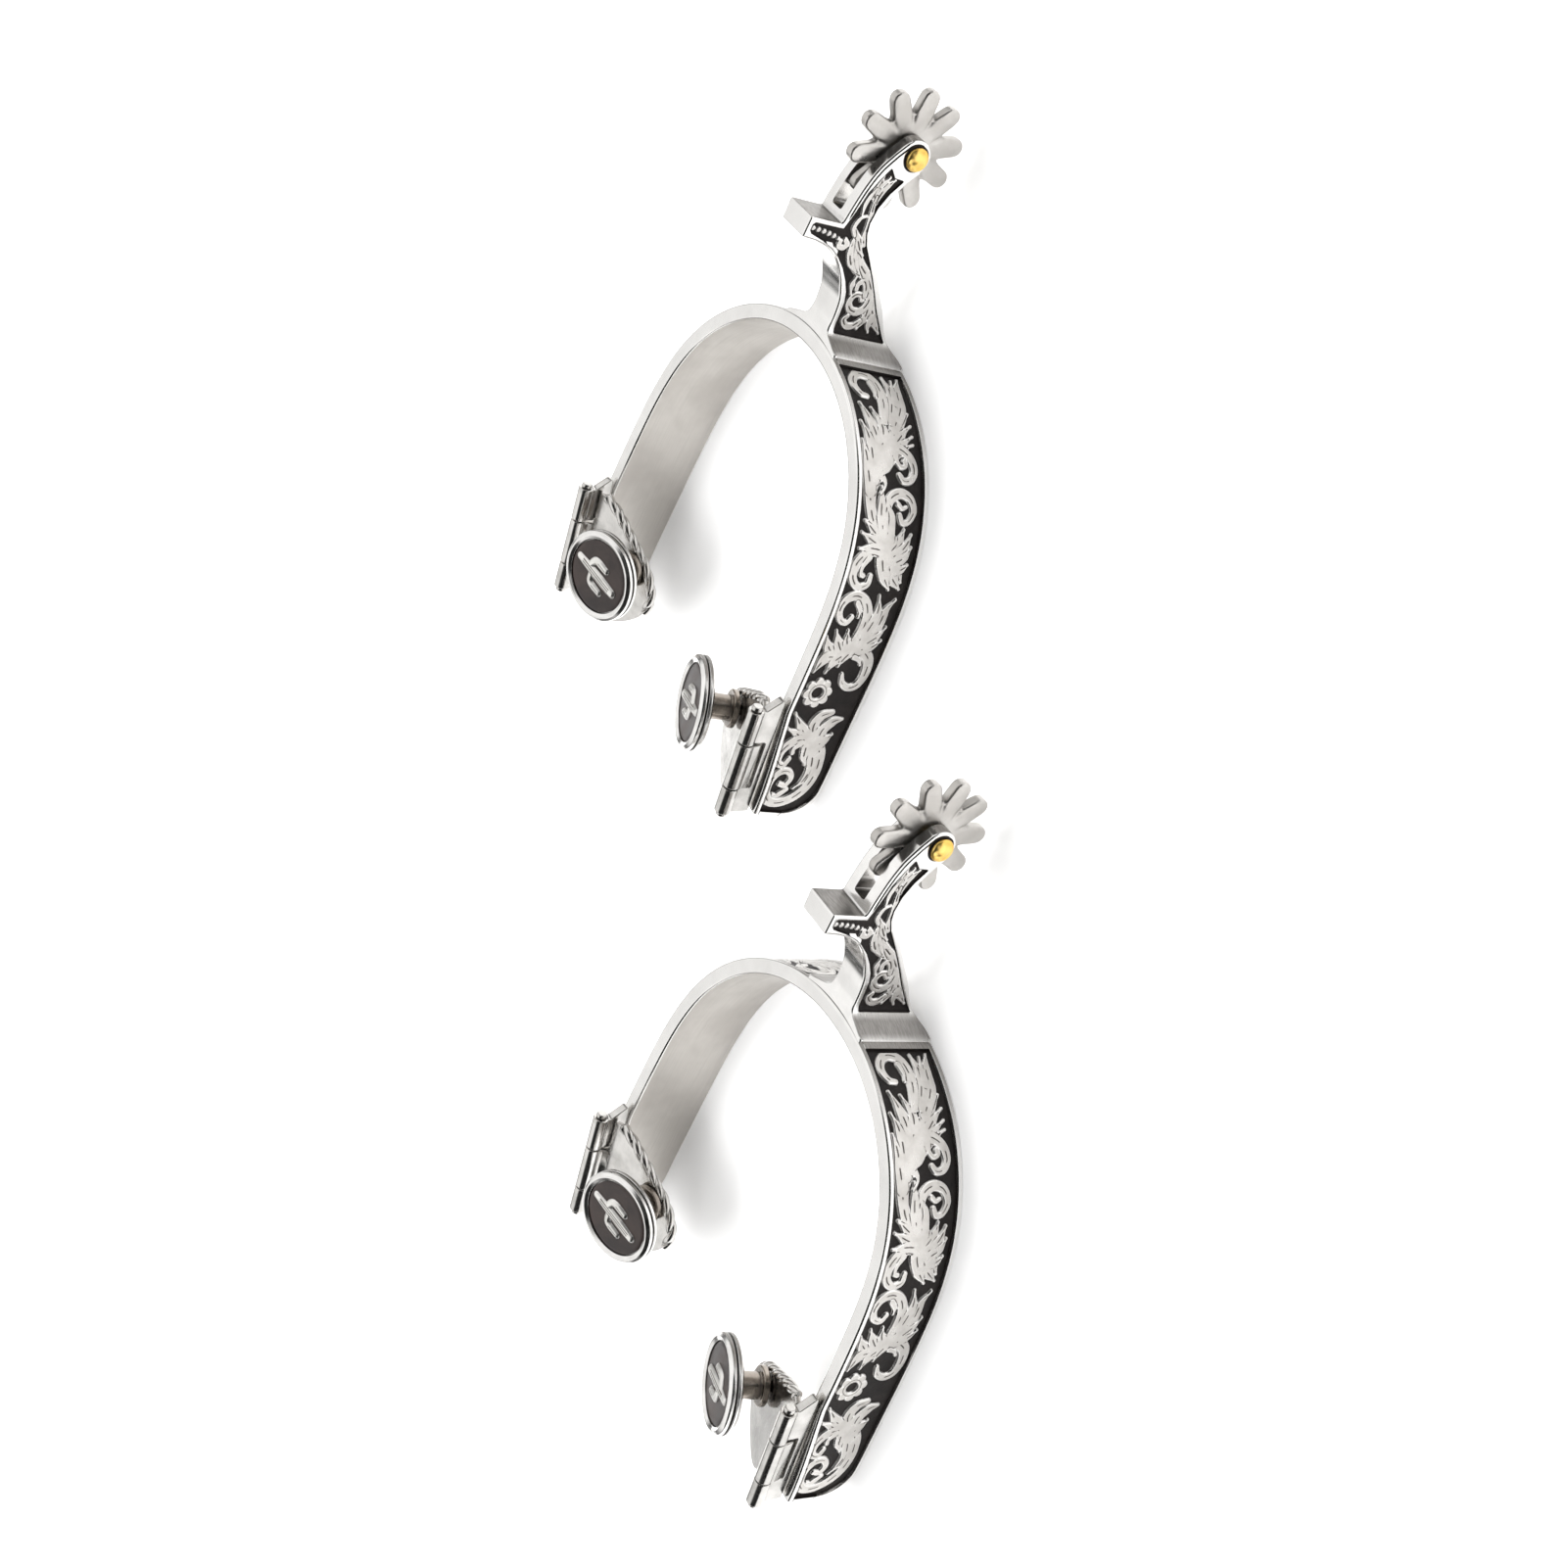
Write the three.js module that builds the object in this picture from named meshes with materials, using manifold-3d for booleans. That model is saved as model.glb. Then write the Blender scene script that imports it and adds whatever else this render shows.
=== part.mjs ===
// Pair of western show spurs: heel band with recessed panels, shank with chap guard and fork,
// ten-point rowel on a headed pin, and two swinging button hangers per spur.
// Millimetres. In each spur X is across the heel, +Y runs toward the open end of the band and
// +Z is up. Y = 0 is the inner face of the band at its apex; the shank runs toward -Y.
import * as THREE from "three";
import { mergeVertices } from "three/addons/utils/BufferGeometryUtils.js";
import Module from "manifold-3d";

const wasm = await Module();
wasm.setup();
const { Manifold, Mesh: SolidMesh } = wasm;
const { degToRad } = THREE.MathUtils;

const GAP = 0.3; // clearance between neighbouring pieces

// ------------------------------------------------------------------ materials
function metal({ name, color, roughness, metalness = 1 }) {
  const material = new THREE.MeshStandardMaterial({ color, roughness, metalness });
  material.name = name;
  return material;
}
const steel = metal({ name: "polished_steel", color: 0xe6e6e8, roughness: 0.18 });
const satin = metal({ name: "satin_steel", color: 0xc2bfba, roughness: 0.42 });
const brass = metal({ name: "brass", color: 0xe0b24a, roughness: 0.25 });
const darkEnamel = metal({
  name: "dark_enamel", color: 0x2a2222, roughness: 0.25, metalness: 0,
});
const silver = metal({ name: "silver", color: 0xf0eee9, roughness: 0.2 });

// ------------------------------------------------------------------ solid helpers
// Closed triangle surface to solid, turned right side out if its volume comes out negative.
function toSolid(geometry) {
  const flat = geometry.index ? geometry.toNonIndexed() : geometry;
  const bare = new THREE.BufferGeometry().setAttribute("position", flat.getAttribute("position"));
  const merged = mergeVertices(bare, 1e-4);
  const corners = merged.index.array;
  const triangles = [];
  for (let i = 0; i < corners.length; i += 3) {
    const [a, b, c] = corners.subarray(i, i + 3);
    if (a !== b && b !== c && a !== c) triangles.push(a, b, c);
  }
  const build = () => new Manifold(new SolidMesh({
    numProp: 3,
    vertProperties: new Float32Array(merged.attributes.position.array),
    triVerts: new Uint32Array(triangles),
  }));
  const made = build();
  if (made.volume() >= 0) return made;
  flipWinding(triangles);
  return build();
}

function flipWinding(indices) {
  for (let i = 0; i < indices.length; i += 3) {
    [indices[i + 1], indices[i + 2]] = [indices[i + 2], indices[i + 1]];
  }
}

function toGeometry(piece) {
  const { vertProperties, triVerts } = piece.getMesh();
  return new THREE.BufferGeometry()
    .setAttribute("position", new THREE.BufferAttribute(new Float32Array(vertProperties), 3))
    .setIndex(new THREE.BufferAttribute(new Uint32Array(triVerts), 1));
}

const join = (pieces) => pieces.reduce((whole, piece) => whole.add(piece));
const cut = (body, ...cutters) => cutters.reduce((rest, cutter) => rest.subtract(cutter), body);

// Turns a piece built along z to run along the named axis, keeping the axes in cyclic order.
const ALONG = {
  x: new THREE.Matrix4().set(0, 0, 1, 0, 1, 0, 0, 0, 0, 1, 0, 0, 0, 0, 0, 1),
  y: new THREE.Matrix4().set(0, 1, 0, 0, 0, 0, 1, 0, 1, 0, 0, 0, 0, 0, 0, 1),
  z: new THREE.Matrix4(),
};

// A flat outline pushed along one axis. The outline is given in the next two axes:
// along x -> (y, z), along y -> (z, x), along z -> (x, y).
function prism(outline, axis, from, to) {
  const shape = new THREE.Shape(outline.map(([a, b]) => new THREE.Vector2(a, b)));
  const geometry = new THREE.ExtrudeGeometry(shape, { depth: to - from, bevelEnabled: false });
  geometry.translate(0, 0, from);
  return toSolid(geometry.applyMatrix4(ALONG[axis]));
}

function circle(centreA, centreB, radius, segments, phase = 0) {
  return Array.from({ length: segments }, (_, i) => {
    const angle = phase + (2 * Math.PI * i) / segments;
    return [centreA + radius * Math.cos(angle), centreB + radius * Math.sin(angle)];
  });
}

// A turned piece: profile of [radius, height] pairs, starting and ending on the axis.
function turned(profile, axis, segments) {
  const points = profile.map(([radius, height]) => new THREE.Vector2(radius, height));
  const geometry = new THREE.LatheGeometry(points, segments);
  geometry.rotateX(Math.PI / 2);
  return toSolid(geometry.applyMatrix4(ALONG[axis]));
}

// A shaft with a head at each end. Head profile: [radius, rise], from the shaft to the crown.
function headedPin({ shaft, from, to, head, axis, segments }) {
  const first = head.map(([radius, rise]) => [radius, from - rise]).reverse();
  const last = head.map(([radius, rise]) => [radius, to + rise]);
  return turned([...first, [shaft, from], [shaft, to], ...last], axis, segments);
}

// A solid through a row of closed rings of [x, y, z] points, with a flat cap at each end.
function skin(rings) {
  const positions = [];
  const triangle = (a, b, c) => positions.push(...a, ...b, ...c);
  const count = rings[0].length;
  for (let i = 0; i + 1 < rings.length; i++) {
    for (let j = 0; j < count; j++) {
      const next = (j + 1) % count;
      triangle(rings[i][j], rings[i][next], rings[i + 1][next]);
      triangle(rings[i][j], rings[i + 1][next], rings[i + 1][j]);
    }
  }
  const first = rings[0];
  const last = rings[rings.length - 1];
  for (let j = 1; j + 1 < count; j++) {
    triangle(first[0], first[j + 1], first[j]);
    triangle(last[0], last[j], last[j + 1]);
  }
  const attribute = new THREE.BufferAttribute(new Float32Array(positions), 3);
  return toSolid(new THREE.BufferGeometry().setAttribute("position", attribute));
}

// ------------------------------------------------------------------ heel band
// Places along a limb are arc lengths from the apex, negative on the limb at -X.
const BAND = {
  thick: 3.75,
  span: 126.6, // arc length covered by the curvature table
  curvature: [0.02129, 0.02241, 0.02465, 0.00336, -0.00112, 0.02129], // 1/mm, equal steps
  end: 120.7, // tip of each limb
  low: -10.2, // resting edge
  topApex: 10.35,
  topLimb: 9.7,
  taperFrom: 92.8, // where the upper edge starts to fall
  taperSlope: 0.15,
  roundFrom: 112.5, // where the lower corner starts to round
  roundRise: 9.3,
  chamfer: 0.45,
};
const PANEL = {
  start: 12.2, end: 119.3, rimTop: 1.3, rimLow: 1.4, depth: 0.7,
  roundFrom: 112.0, roundRise: 7.6,
  overshoot: 1, // how far the cutter stands outside the band
};
const ARC_STEP = 0.25;
const ROUND_MARGIN = 0.01; // keeps the rounding just short of vertical at the tip

const SHARED_STATIONS = [18, 24, 30, 36, 42, 48, 54, 60, 68, 80, BAND.taperFrom, 104];
const LIMB_STATIONS = [
  0, 6, 12, ...SHARED_STATIONS, BAND.roundFrom, 115.8, 118.2, 119.8, 120.5, BAND.end,
];
const BAND_STATIONS = [...LIMB_STATIONS.slice(1).reverse().map((s) => -s), ...LIMB_STATIONS];
const PANEL_STATIONS = [
  PANEL.start, ...SHARED_STATIONS, PANEL.roundFrom, 115, 117.2, 118.6, PANEL.end,
];

// Inner face of the limb at +X; curvature varies linearly between the table entries.
function traceInnerFace() {
  const points = [];
  const table = BAND.curvature;
  const intervals = table.length - 1;
  let x = 0;
  let y = 0;
  let heading = 0;
  for (let arc = 0; arc <= BAND.span + 1e-9; arc += ARC_STEP) {
    points.push({ x, y, heading });
    const place = (arc + ARC_STEP / 2) / (BAND.span / intervals);
    const i = Math.min(intervals - 1, Math.floor(place));
    const turn = (table[i] + (table[i + 1] - table[i]) * (place - i)) * ARC_STEP;
    x += Math.cos(heading + turn / 2) * ARC_STEP;
    y += Math.sin(heading + turn / 2) * ARC_STEP;
    heading += turn;
  }
  return points;
}
const innerFace = traceInnerFace();

// Plan point at an arc length and a distance outward from the inner face.
function onBand(arc, outward) {
  const place = Math.abs(arc) / ARC_STEP;
  const i = Math.floor(place);
  const blend = place - i;
  const between = (key) => innerFace[i][key] + (innerFace[i + 1][key] - innerFace[i][key]) * blend;
  const heading = between("heading");
  const x = between("x") + outward * Math.sin(heading);
  const y = between("y") - outward * Math.cos(heading);
  return [arc < 0 ? -x : x, y];
}

function bandTop(arc) {
  const along = Math.abs(arc);
  if (along > BAND.taperFrom) return BAND.topLimb - (along - BAND.taperFrom) * BAND.taperSlope;
  return BAND.topApex + ((BAND.topLimb - BAND.topApex) * along) / BAND.taperFrom;
}

// Rise of a lower edge along the elliptical corner at the tip of a limb.
function cornerRise(arc, { roundFrom, end, roundRise }) {
  const along = Math.abs(arc);
  if (along <= roundFrom) return 0;
  const part = (along - roundFrom) / (end + ROUND_MARGIN - roundFrom);
  return roundRise * (1 - Math.sqrt(1 - part * part));
}

// Section: function of arc length giving a ring of [outward, z] points.
function sweep(stations, section) {
  return skin(stations.map((arc) =>
    section(arc).map(([outward, z]) => [...onBand(arc, outward), z])));
}

function panelRecess(side) {
  const floor = BAND.thick - PANEL.depth;
  const outside = BAND.thick + PANEL.overshoot;
  return sweep(PANEL_STATIONS.map((arc) => arc * side), (arc) => {
    const low = BAND.low + PANEL.rimLow + cornerRise(arc, PANEL);
    const high = bandTop(arc) - PANEL.rimTop;
    return [[floor, low], [outside, low], [outside, high], [floor, high]];
  });
}

function heelBand() {
  const { chamfer, thick } = BAND;
  const body = sweep(BAND_STATIONS, (arc) => {
    const low = BAND.low + cornerRise(arc, BAND);
    const high = bandTop(arc);
    return [
      [0, low + chamfer], [chamfer, low], [thick - chamfer, low], [thick, low + chamfer],
      [thick, high - chamfer], [thick - chamfer, high], [chamfer, high], [0, high - chamfer],
    ];
  });
  return cut(body, panelRecess(1), panelRecess(-1));
}

// ------------------------------------------------------------------ shank, chap guard and fork
const AXLE = { y: -48.34, z: 7.28 }; // rowel axis, parallel to X
const SHANK = {
  cheekHalf: 5.1, // half width over the fork
  slotHalf: 2.1,
  slotFrom: -32.4, // Y of the closed end of the fork
  holeRadius: 1.9,
  panelDepth: 0.5,
};
// Rounded rear end of the fork; angles in degrees from straight back, upward positive.
const FORK_END = { radius: 4.1, lift: 0.3, from: 60, step: -20.5, steps: 10 };
const SHANK_STOCK = { low: -20, high: 40, half: 20, rear: -70 }; // reach of outlines and cutters

// Side outlines: [distance behind the band's inner face, z].
const SIDE_TOP = [
  [2.2, 10.05], [5.1, 9.7], [8.6, 9.3], [13.0, 9.75], [15.7, 10.8], [17.5, 11.7],
  [19.6, 13.1], [22.0, 15.2], [23.7, 17.5], [24.6, 19.8], [25.2, 22.5], [25.4, 26.4],
  [30.4, 26.4], [30.4, 18.1], [35.3, 17.4], [39.8, 16.5], [44.3, 15.0], [48.4, 12.6],
];
const SIDE_LOW = [
  [45.3, 4.4], [42.8, 6.3], [40.2, 7.8], [37.5, 9.1], [33.9, 9.9], [30.8, 9.8],
  [28.1, 8.8], [25.3, 6.7], [21.9, 3.8], [17.4, 0.5], [12.9, -2.9], [8.6, -5.6],
  [5.2, -8.2], [3.8, -9.6], [2.2, -10.0],
];
const SIDE_PANEL = [
  [5.7, -6.7], [5.7, 7.9], [9, 7.9], [13, 8.2], [15.4, 9.0], [17.9, 10.5], [20.5, 12.6],
  [22.8, 15.1], [24.4, 17.9], [25.6, 20.8], [26.6, 24.6], [27.3, 25.2], [28.7, 25.2],
  [29.3, 24.6], [29.4, 17.2], [33.9, 16.1], [38.4, 15.2], [42.0, 13.7], [45.1, 12.1],
  [43.1, 10.2], [43.0, 7.5], [39.3, 9.7], [35.7, 11.0], [32.1, 11.3], [29.5, 10.7],
  [26.8, 9.3], [23.2, 6.4], [19.6, 3.6], [16.1, 1.1], [12.5, -1.3], [8.9, -4.1],
];
// Plan outline: [half width, distance behind the band's inner face].
const PLAN_HALF = [
  [11.6, 3.1], [9.8, 3.7], [7.6, 4.5], [5.9, 5.2], [4.9, 6.1], [4.55, 7.7], [4.5, 11],
  [4.6, 18], [4.85, 25], [5.0, 30], [SHANK.cheekHalf, 35], [SHANK.cheekHalf, 55],
];
const PANEL_CORE_FROM = 4; // row of PLAN_HALF where the core between the side panels starts
const FOOT_X = [-11.6, -8.7, -5.8, -2.9, 0, 2.9, 5.8, 8.7, 11.6]; // points facing the band

const toYZ = (outline) => outline.map(([behind, z]) => [-behind, z]);

// Point at the given x, one gap outside the outer face of the band.
function footPoint(x) {
  const outward = BAND.thick + GAP;
  const target = Math.abs(x);
  let arc = target;
  for (let i = 0; i < 4; i++) arc += target - Math.abs(onBand(arc, outward)[0]);
  return [x, onBand(arc, outward)[1]];
}

function shankSide() {
  const { radius, lift, from, step, steps } = FORK_END;
  const end = Array.from({ length: steps + 1 }, (_, i) => {
    const angle = degToRad(from + i * step);
    return [-AXLE.y + radius * Math.cos(angle), AXLE.z + lift + radius * Math.sin(angle)];
  });
  const outline = toYZ([...SIDE_TOP, ...end, ...SIDE_LOW]);
  return prism(outline, "x", -SHANK_STOCK.half, SHANK_STOCK.half);
}

function shankPlan() {
  const outline = [
    ...FOOT_X.map(footPoint),
    ...PLAN_HALF.map(([half, behind]) => [half, -behind]),
    ...PLAN_HALF.map(([half, behind]) => [-half, -behind]).reverse(),
  ];
  return prism(outline, "z", SHANK_STOCK.low, SHANK_STOCK.high);
}

// Cutter for the +X side panel. The core follows the width of the shank, so the depth stays
// constant; in the short length ahead of the core the panels of both sides meet.
function shankPanel() {
  const { low, high, half: reach } = SHANK_STOCK;
  const edge = PLAN_HALF.slice(PANEL_CORE_FROM)
    .map(([half, behind]) => [half - SHANK.panelDepth, -behind]);
  const front = edge[0][1];
  const rear = edge[edge.length - 1][1];
  const core = prism([...edge, [0, rear], [0, front]], "z", low, high);
  return prism(toYZ(SIDE_PANEL), "x", 0, reach).subtract(core);
}

function shank() {
  const { low, high, rear } = SHANK_STOCK;
  const { slotFrom, slotHalf, holeRadius } = SHANK;
  const slotOutline = [[rear, low], [slotFrom, low], [slotFrom, high], [rear, high]];
  const slot = prism(slotOutline, "x", -slotHalf, slotHalf);
  const hole = prism(circle(AXLE.y, AXLE.z, holeRadius, 24), "x", -9, 9);
  const panel = shankPanel();
  return cut(shankSide().intersect(shankPlan()), slot, hole, panel, panel.mirror([1, 0, 0]));
}

// ------------------------------------------------------------------ rowel and its pin
const ROWEL = {
  points: 10,
  radius: 14.2,
  valley: 8.5,
  root: 9.4, // radius where the side of a point starts
  rootHalf: 2.3, // half width there
  tipHalf: 2.15,
  halfThick: 1.35,
  bore: 1.9,
  phase: [1.289, 1.458], // radians, first and second spur
};
const ROWEL_PIN = { shaft: 1.6, headRadius: 2.7, headRise: 1.5, rim: 0.45 };

function rowel(phase) {
  const { points, radius, valley, root, rootHalf, tipHalf, halfThick, bore } = ROWEL;
  const tipFrom = radius - tipHalf;
  // One side of a point: [distance from the axle, half width].
  const side = [
    [root, rootHalf], [tipFrom, tipHalf],
    [tipFrom + tipHalf * 0.62, tipHalf * 0.78], [radius, tipHalf * 0.26],
  ];
  const pointOutline = [...side.map(([out, half]) => [out, -half]), ...side.slice().reverse()];
  const outline = [];
  for (let i = 0; i < points; i++) {
    const angle = phase + (2 * Math.PI * i) / points;
    const cos = Math.cos(angle);
    const sin = Math.sin(angle);
    for (const [out, across] of pointOutline) {
      outline.push([AXLE.y + out * cos - across * sin, AXLE.z + out * sin + across * cos]);
    }
    const middle = angle + Math.PI / points;
    outline.push([AXLE.y + valley * Math.cos(middle), AXLE.z + valley * Math.sin(middle)]);
  }
  const star = prism(outline, "x", -halfThick, halfThick);
  return star.subtract(prism(circle(AXLE.y, AXLE.z, bore, 24), "x", -5, 5));
}

function rowelPin() {
  const { shaft, headRadius, headRise, rim } = ROWEL_PIN;
  const reach = SHANK.cheekHalf + GAP;
  const dome = headRise - rim;
  const head = [
    [headRadius, 0], [headRadius, rim], [headRadius * 0.86, rim + dome * 0.5],
    [headRadius * 0.5, rim + dome * 0.88], [0, headRise],
  ];
  return headedPin({ shaft, from: -reach, to: reach, head, axis: "x", segments: 20 })
    .translate([0, AXLE.y, AXLE.z]);
}

// ------------------------------------------------------------------ hinge
// Local frame on the hinge axis: X outward, Y along the axis toward the limb's tip, Z up.
const HINGE = {
  at: [47.69, 81.82, 14.3], // origin on the hinge axis, limb at +X
  yaw: -1.42, // degrees, forward end toward the middle
  fall: -8.6, // degrees, forward end down
  barrel: 1.95,
  bore: 1.05,
  rest: 107.6, // degrees the hanger is folded inward from upright
};
const KNUCKLE_GAP = 0.4;
const KNUCKLE = { // places along local Y
  rear: [-13.9, -5.1],
  middle: [-5.1 + KNUCKLE_GAP, 7.3],
  fore: [7.3 + KNUCKLE_GAP, 14.6],
};
const LEAF = { // local X faces, then Z levels, then rear end in Y
  inner: -1.3, outer: 0.9, foot: -6.35, notch: -4.7, shoulder: -2.2, rearEnd: -17.2,
};
const HINGE_PIN = { shaft: 0.75, head: [[1.3, 0], [1.3, 0.4], [0.91, 0.85], [0, 0.9]] };

function hingeFrame() {
  const yaw = degToRad(HINGE.yaw);
  const fall = degToRad(HINGE.fall);
  const axis = new THREE.Vector3(
    Math.sin(yaw), Math.cos(yaw) * Math.cos(fall), Math.sin(fall),
  ).normalize();
  const up = new THREE.Vector3(0, 0, 1).addScaledVector(axis, -axis.z).normalize();
  const outward = new THREE.Vector3().crossVectors(axis, up).normalize();
  const matrix = new THREE.Matrix4().makeBasis(outward, axis, up).setPosition(...HINGE.at);
  return { axis, matrix };
}
const hinge = hingeFrame();
const fold = new THREE.Matrix4().makeRotationY(-degToRad(HINGE.rest));
const hangerMatrix = hinge.matrix.clone().multiply(fold);

function barrel([from, to], radius, segments = 14) {
  return prism(circle(0, 0, radius, segments, Math.PI / segments), "y", from, to);
}
const hingeBore = () => barrel([-30, 30], HINGE.bore, 10);

function hingeLeaf() {
  const [rearFrom, rearTo] = KNUCKLE.rear;
  const [foreFrom, foreTo] = KNUCKLE.fore;
  const plate = prism([
    [LEAF.rearEnd, LEAF.foot], [foreTo, LEAF.foot], [foreTo, 0], [foreFrom, 0],
    [foreFrom, LEAF.notch], [rearTo, LEAF.notch], [rearTo, 0], [rearFrom, 0],
    [rearFrom, LEAF.shoulder],
  ], "x", LEAF.inner, LEAF.outer);
  const knuckles = [KNUCKLE.rear, KNUCKLE.fore].map((range) => barrel(range, HINGE.barrel));
  return cut(join([plate, ...knuckles]), hingeBore());
}

function hingePin() {
  const from = KNUCKLE.rear[0] - GAP;
  const to = KNUCKLE.fore[1] + GAP;
  return headedPin({ ...HINGE_PIN, from, to, axis: "y", segments: 10 });
}

// ------------------------------------------------------------------ hanger
// The hanger and all it carries are drawn upright in the hinge frame, then folded.
const HANGER = { back: -3.6, front: -2.2, webFront: -0.4, webTop: 3.4 };
const ROPE = { radius: 1.15, waist: 0.72, beads: 12, sides: 5 }; // waist: share of the radius
const HANGER_OUTLINE = [ // [local y, local z]
  [-13.4, 3.0], [-13.9, 5.2], [-11.6, 9.4], [-8.8, 13.9], [-6.1, 18.3], [-3.4, 22.3],
  [0, 25.4], [4.0, 27.0], [8.4, 26.0], [12, 22.8], [15.0, 18.4], [16.9, 13.9],
  [16.2, 10.3], [12.3, 7.2], [8.2, 4.9], [7.3, 3.0],
];
const ROPE_LINE = [[-13.6, 4.4], ...HANGER_OUTLINE.slice(2, 9)];
const STUD = {
  y: -0.87, z: 18.98, // stud axis, parallel to local X
  tail: 1.3, tailInset: 0.1,
  neck: 3.2, neckRise: 0.5,
  collar: 4.6, collarTop: 0, collarChamfer: 0.3,
  post: 3.1,
};

// A beaded cord laid along the rear and upper edge of the hanger.
function rope() {
  const middle = (HANGER.back + HANGER.front) / 2;
  const line = new THREE.CatmullRomCurve3(
    ROPE_LINE.map(([y, z]) => new THREE.Vector3(middle, y, z)),
  );
  const across = new THREE.Vector3(1, 0, 0);
  const steps = ROPE.beads * 2;
  const rings = Array.from({ length: steps + 1 }, (_, i) => {
    const centre = line.getPointAt(i / steps);
    const other = new THREE.Vector3().crossVectors(line.getTangentAt(i / steps), across);
    other.normalize();
    const radius = i % 2 ? ROPE.radius : ROPE.radius * ROPE.waist;
    return circle(0, 0, radius, ROPE.sides).map(([a, b]) =>
      centre.clone().addScaledVector(across, a).addScaledVector(other, b).toArray());
  });
  return skin(rings);
}

function hanger() {
  const [from, to] = KNUCKLE.middle;
  const { back, front, webFront, webTop } = HANGER;
  const plate = prism(HANGER_OUTLINE, "x", back, front);
  const web = prism([[from, 0], [to, 0], [to, webTop], [from, webTop]], "x", back, webFront);
  const knuckle = barrel(KNUCKLE.middle, HINGE.barrel);
  const studHole = prism(circle(STUD.y, STUD.z, STUD.tail + GAP, 12), "x", -8, 0);
  return cut(join([plate, web, knuckle, rope()]), hingeBore(), studHole);
}

// ------------------------------------------------------------------ stud and button
// Heights are local X.
const BUTTON = {
  radius: 11.3, back: 6.5, face: 9.9, floor: 8.7, bezelInner: 9.3,
  edgeIn: 0.8, edgeUp: 0.7, // chamfer at the back edge
  grooveRadius: 10.5, grooveRise: [1.3, 1.6, 1.9], // start, bottom and end above the back
  outerIn: 0.2, outerDrop: 0.5, innerDrop: 0.4, // bezel edges, relative to its crest
};
const ENAMEL = { radius: BUTTON.bezelInner - GAP, back: BUTTON.floor + GAP, thick: 0.35 };
const ENAMEL_FRONT = ENAMEL.back + ENAMEL.thick;
const EMBLEM = { back: ENAMEL_FRONT + GAP, thick: 0.4, tilt: -17 }; // tilt in degrees

const turnedOnStud = (profile, segments) =>
  turned(profile, "x", segments).translate([0, STUD.y, STUD.z]);

function stud() {
  const { tail, neck, collar, collarTop, collarChamfer, post } = STUD;
  const back = HANGER.back + STUD.tailInset;
  const neckBack = HANGER.front + GAP;
  const neckTop = neckBack + STUD.neckRise;
  const postTop = BUTTON.back - GAP;
  return turnedOnStud([
    [0, back], [tail, back], [tail, neckBack], [neck, neckBack], [neck, neckTop],
    [collar, neckTop], [collar, collarTop - collarChamfer], [collar - collarChamfer, collarTop],
    [post, collarTop], [post, postTop], [0, postTop],
  ], 16);
}

function buttonShell() {
  const { radius, back, face, floor, bezelInner, grooveRadius } = BUTTON;
  const [grooveFrom, grooveBottom, grooveTo] = BUTTON.grooveRise.map((rise) => back + rise);
  return turnedOnStud([
    [0, back], [radius - BUTTON.edgeIn, back], [radius, back + BUTTON.edgeUp],
    [radius, grooveFrom], [grooveRadius, grooveBottom], [radius, grooveTo],
    [radius - BUTTON.outerIn, face - BUTTON.outerDrop], [(radius + bezelInner) / 2, face],
    [bezelInner, face - BUTTON.innerDrop], [bezelInner, floor], [0, floor],
  ], 24);
}

function enamel() {
  const { radius, back } = ENAMEL;
  return turnedOnStud([[0, back], [radius, back], [radius, ENAMEL_FRONT], [0, ENAMEL_FRONT]], 24);
}

// Saguaro cactus, drawn upright about the stud axis: [y0, z0, y1, z1, radius] of each stroke.
const CACTUS_STROKES = [
  [0, -7.0, 0, 5.9, 1.3],
  [0, -3.0, -2.9, -2.2, 1.0], [-2.9, -2.2, -3.2, 1.4, 1.0],
  [0, -1.6, 2.9, -0.8, 1.0], [2.9, -0.8, 3.2, 2.6, 1.0],
];

// Outline of a stroke with round ends, each end an arc of three segments.
function strokeOutline([y0, z0, y1, z1, radius]) {
  const heading = Math.atan2(z1 - z0, y1 - y0);
  const arc = (y, z, from) => Array.from({ length: 4 }, (_, i) => {
    const angle = from + (i * Math.PI) / 3;
    return [y + radius * Math.cos(angle), z + radius * Math.sin(angle)];
  });
  return [...arc(y1, z1, heading - Math.PI / 2), ...arc(y0, z0, heading + Math.PI / 2)];
}

function emblem() {
  const cos = Math.cos(degToRad(EMBLEM.tilt));
  const sin = Math.sin(degToRad(EMBLEM.tilt));
  const tilted = ([y, z]) => [STUD.y + y * cos - z * sin, STUD.z + y * sin + z * cos];
  return join(CACTUS_STROKES.map((stroke) =>
    prism(strokeOutline(stroke).map(tilted), "x", EMBLEM.back, EMBLEM.back + EMBLEM.thick)));
}

// ------------------------------------------------------------------ assembly
const SECOND = { x: -106.67, y: 107.37, turn: 2.62 }; // second spur; turn in degrees about Z

const placed = (piece, matrix) => toGeometry(piece).applyMatrix4(matrix);

function mirrored(geometry) {
  const copy = geometry.clone().applyMatrix4(new THREE.Matrix4().makeScale(-1, 1, 1));
  flipWinding(copy.index.array);
  return copy;
}

// Pieces on the middle plane, the same in both spurs: [name, geometry, material].
const central = [
  ["heel_band", toGeometry(heelBand()), steel],
  ["shank", toGeometry(shank()), steel],
  ["rowel_pin", toGeometry(rowelPin()), brass],
];
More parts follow.
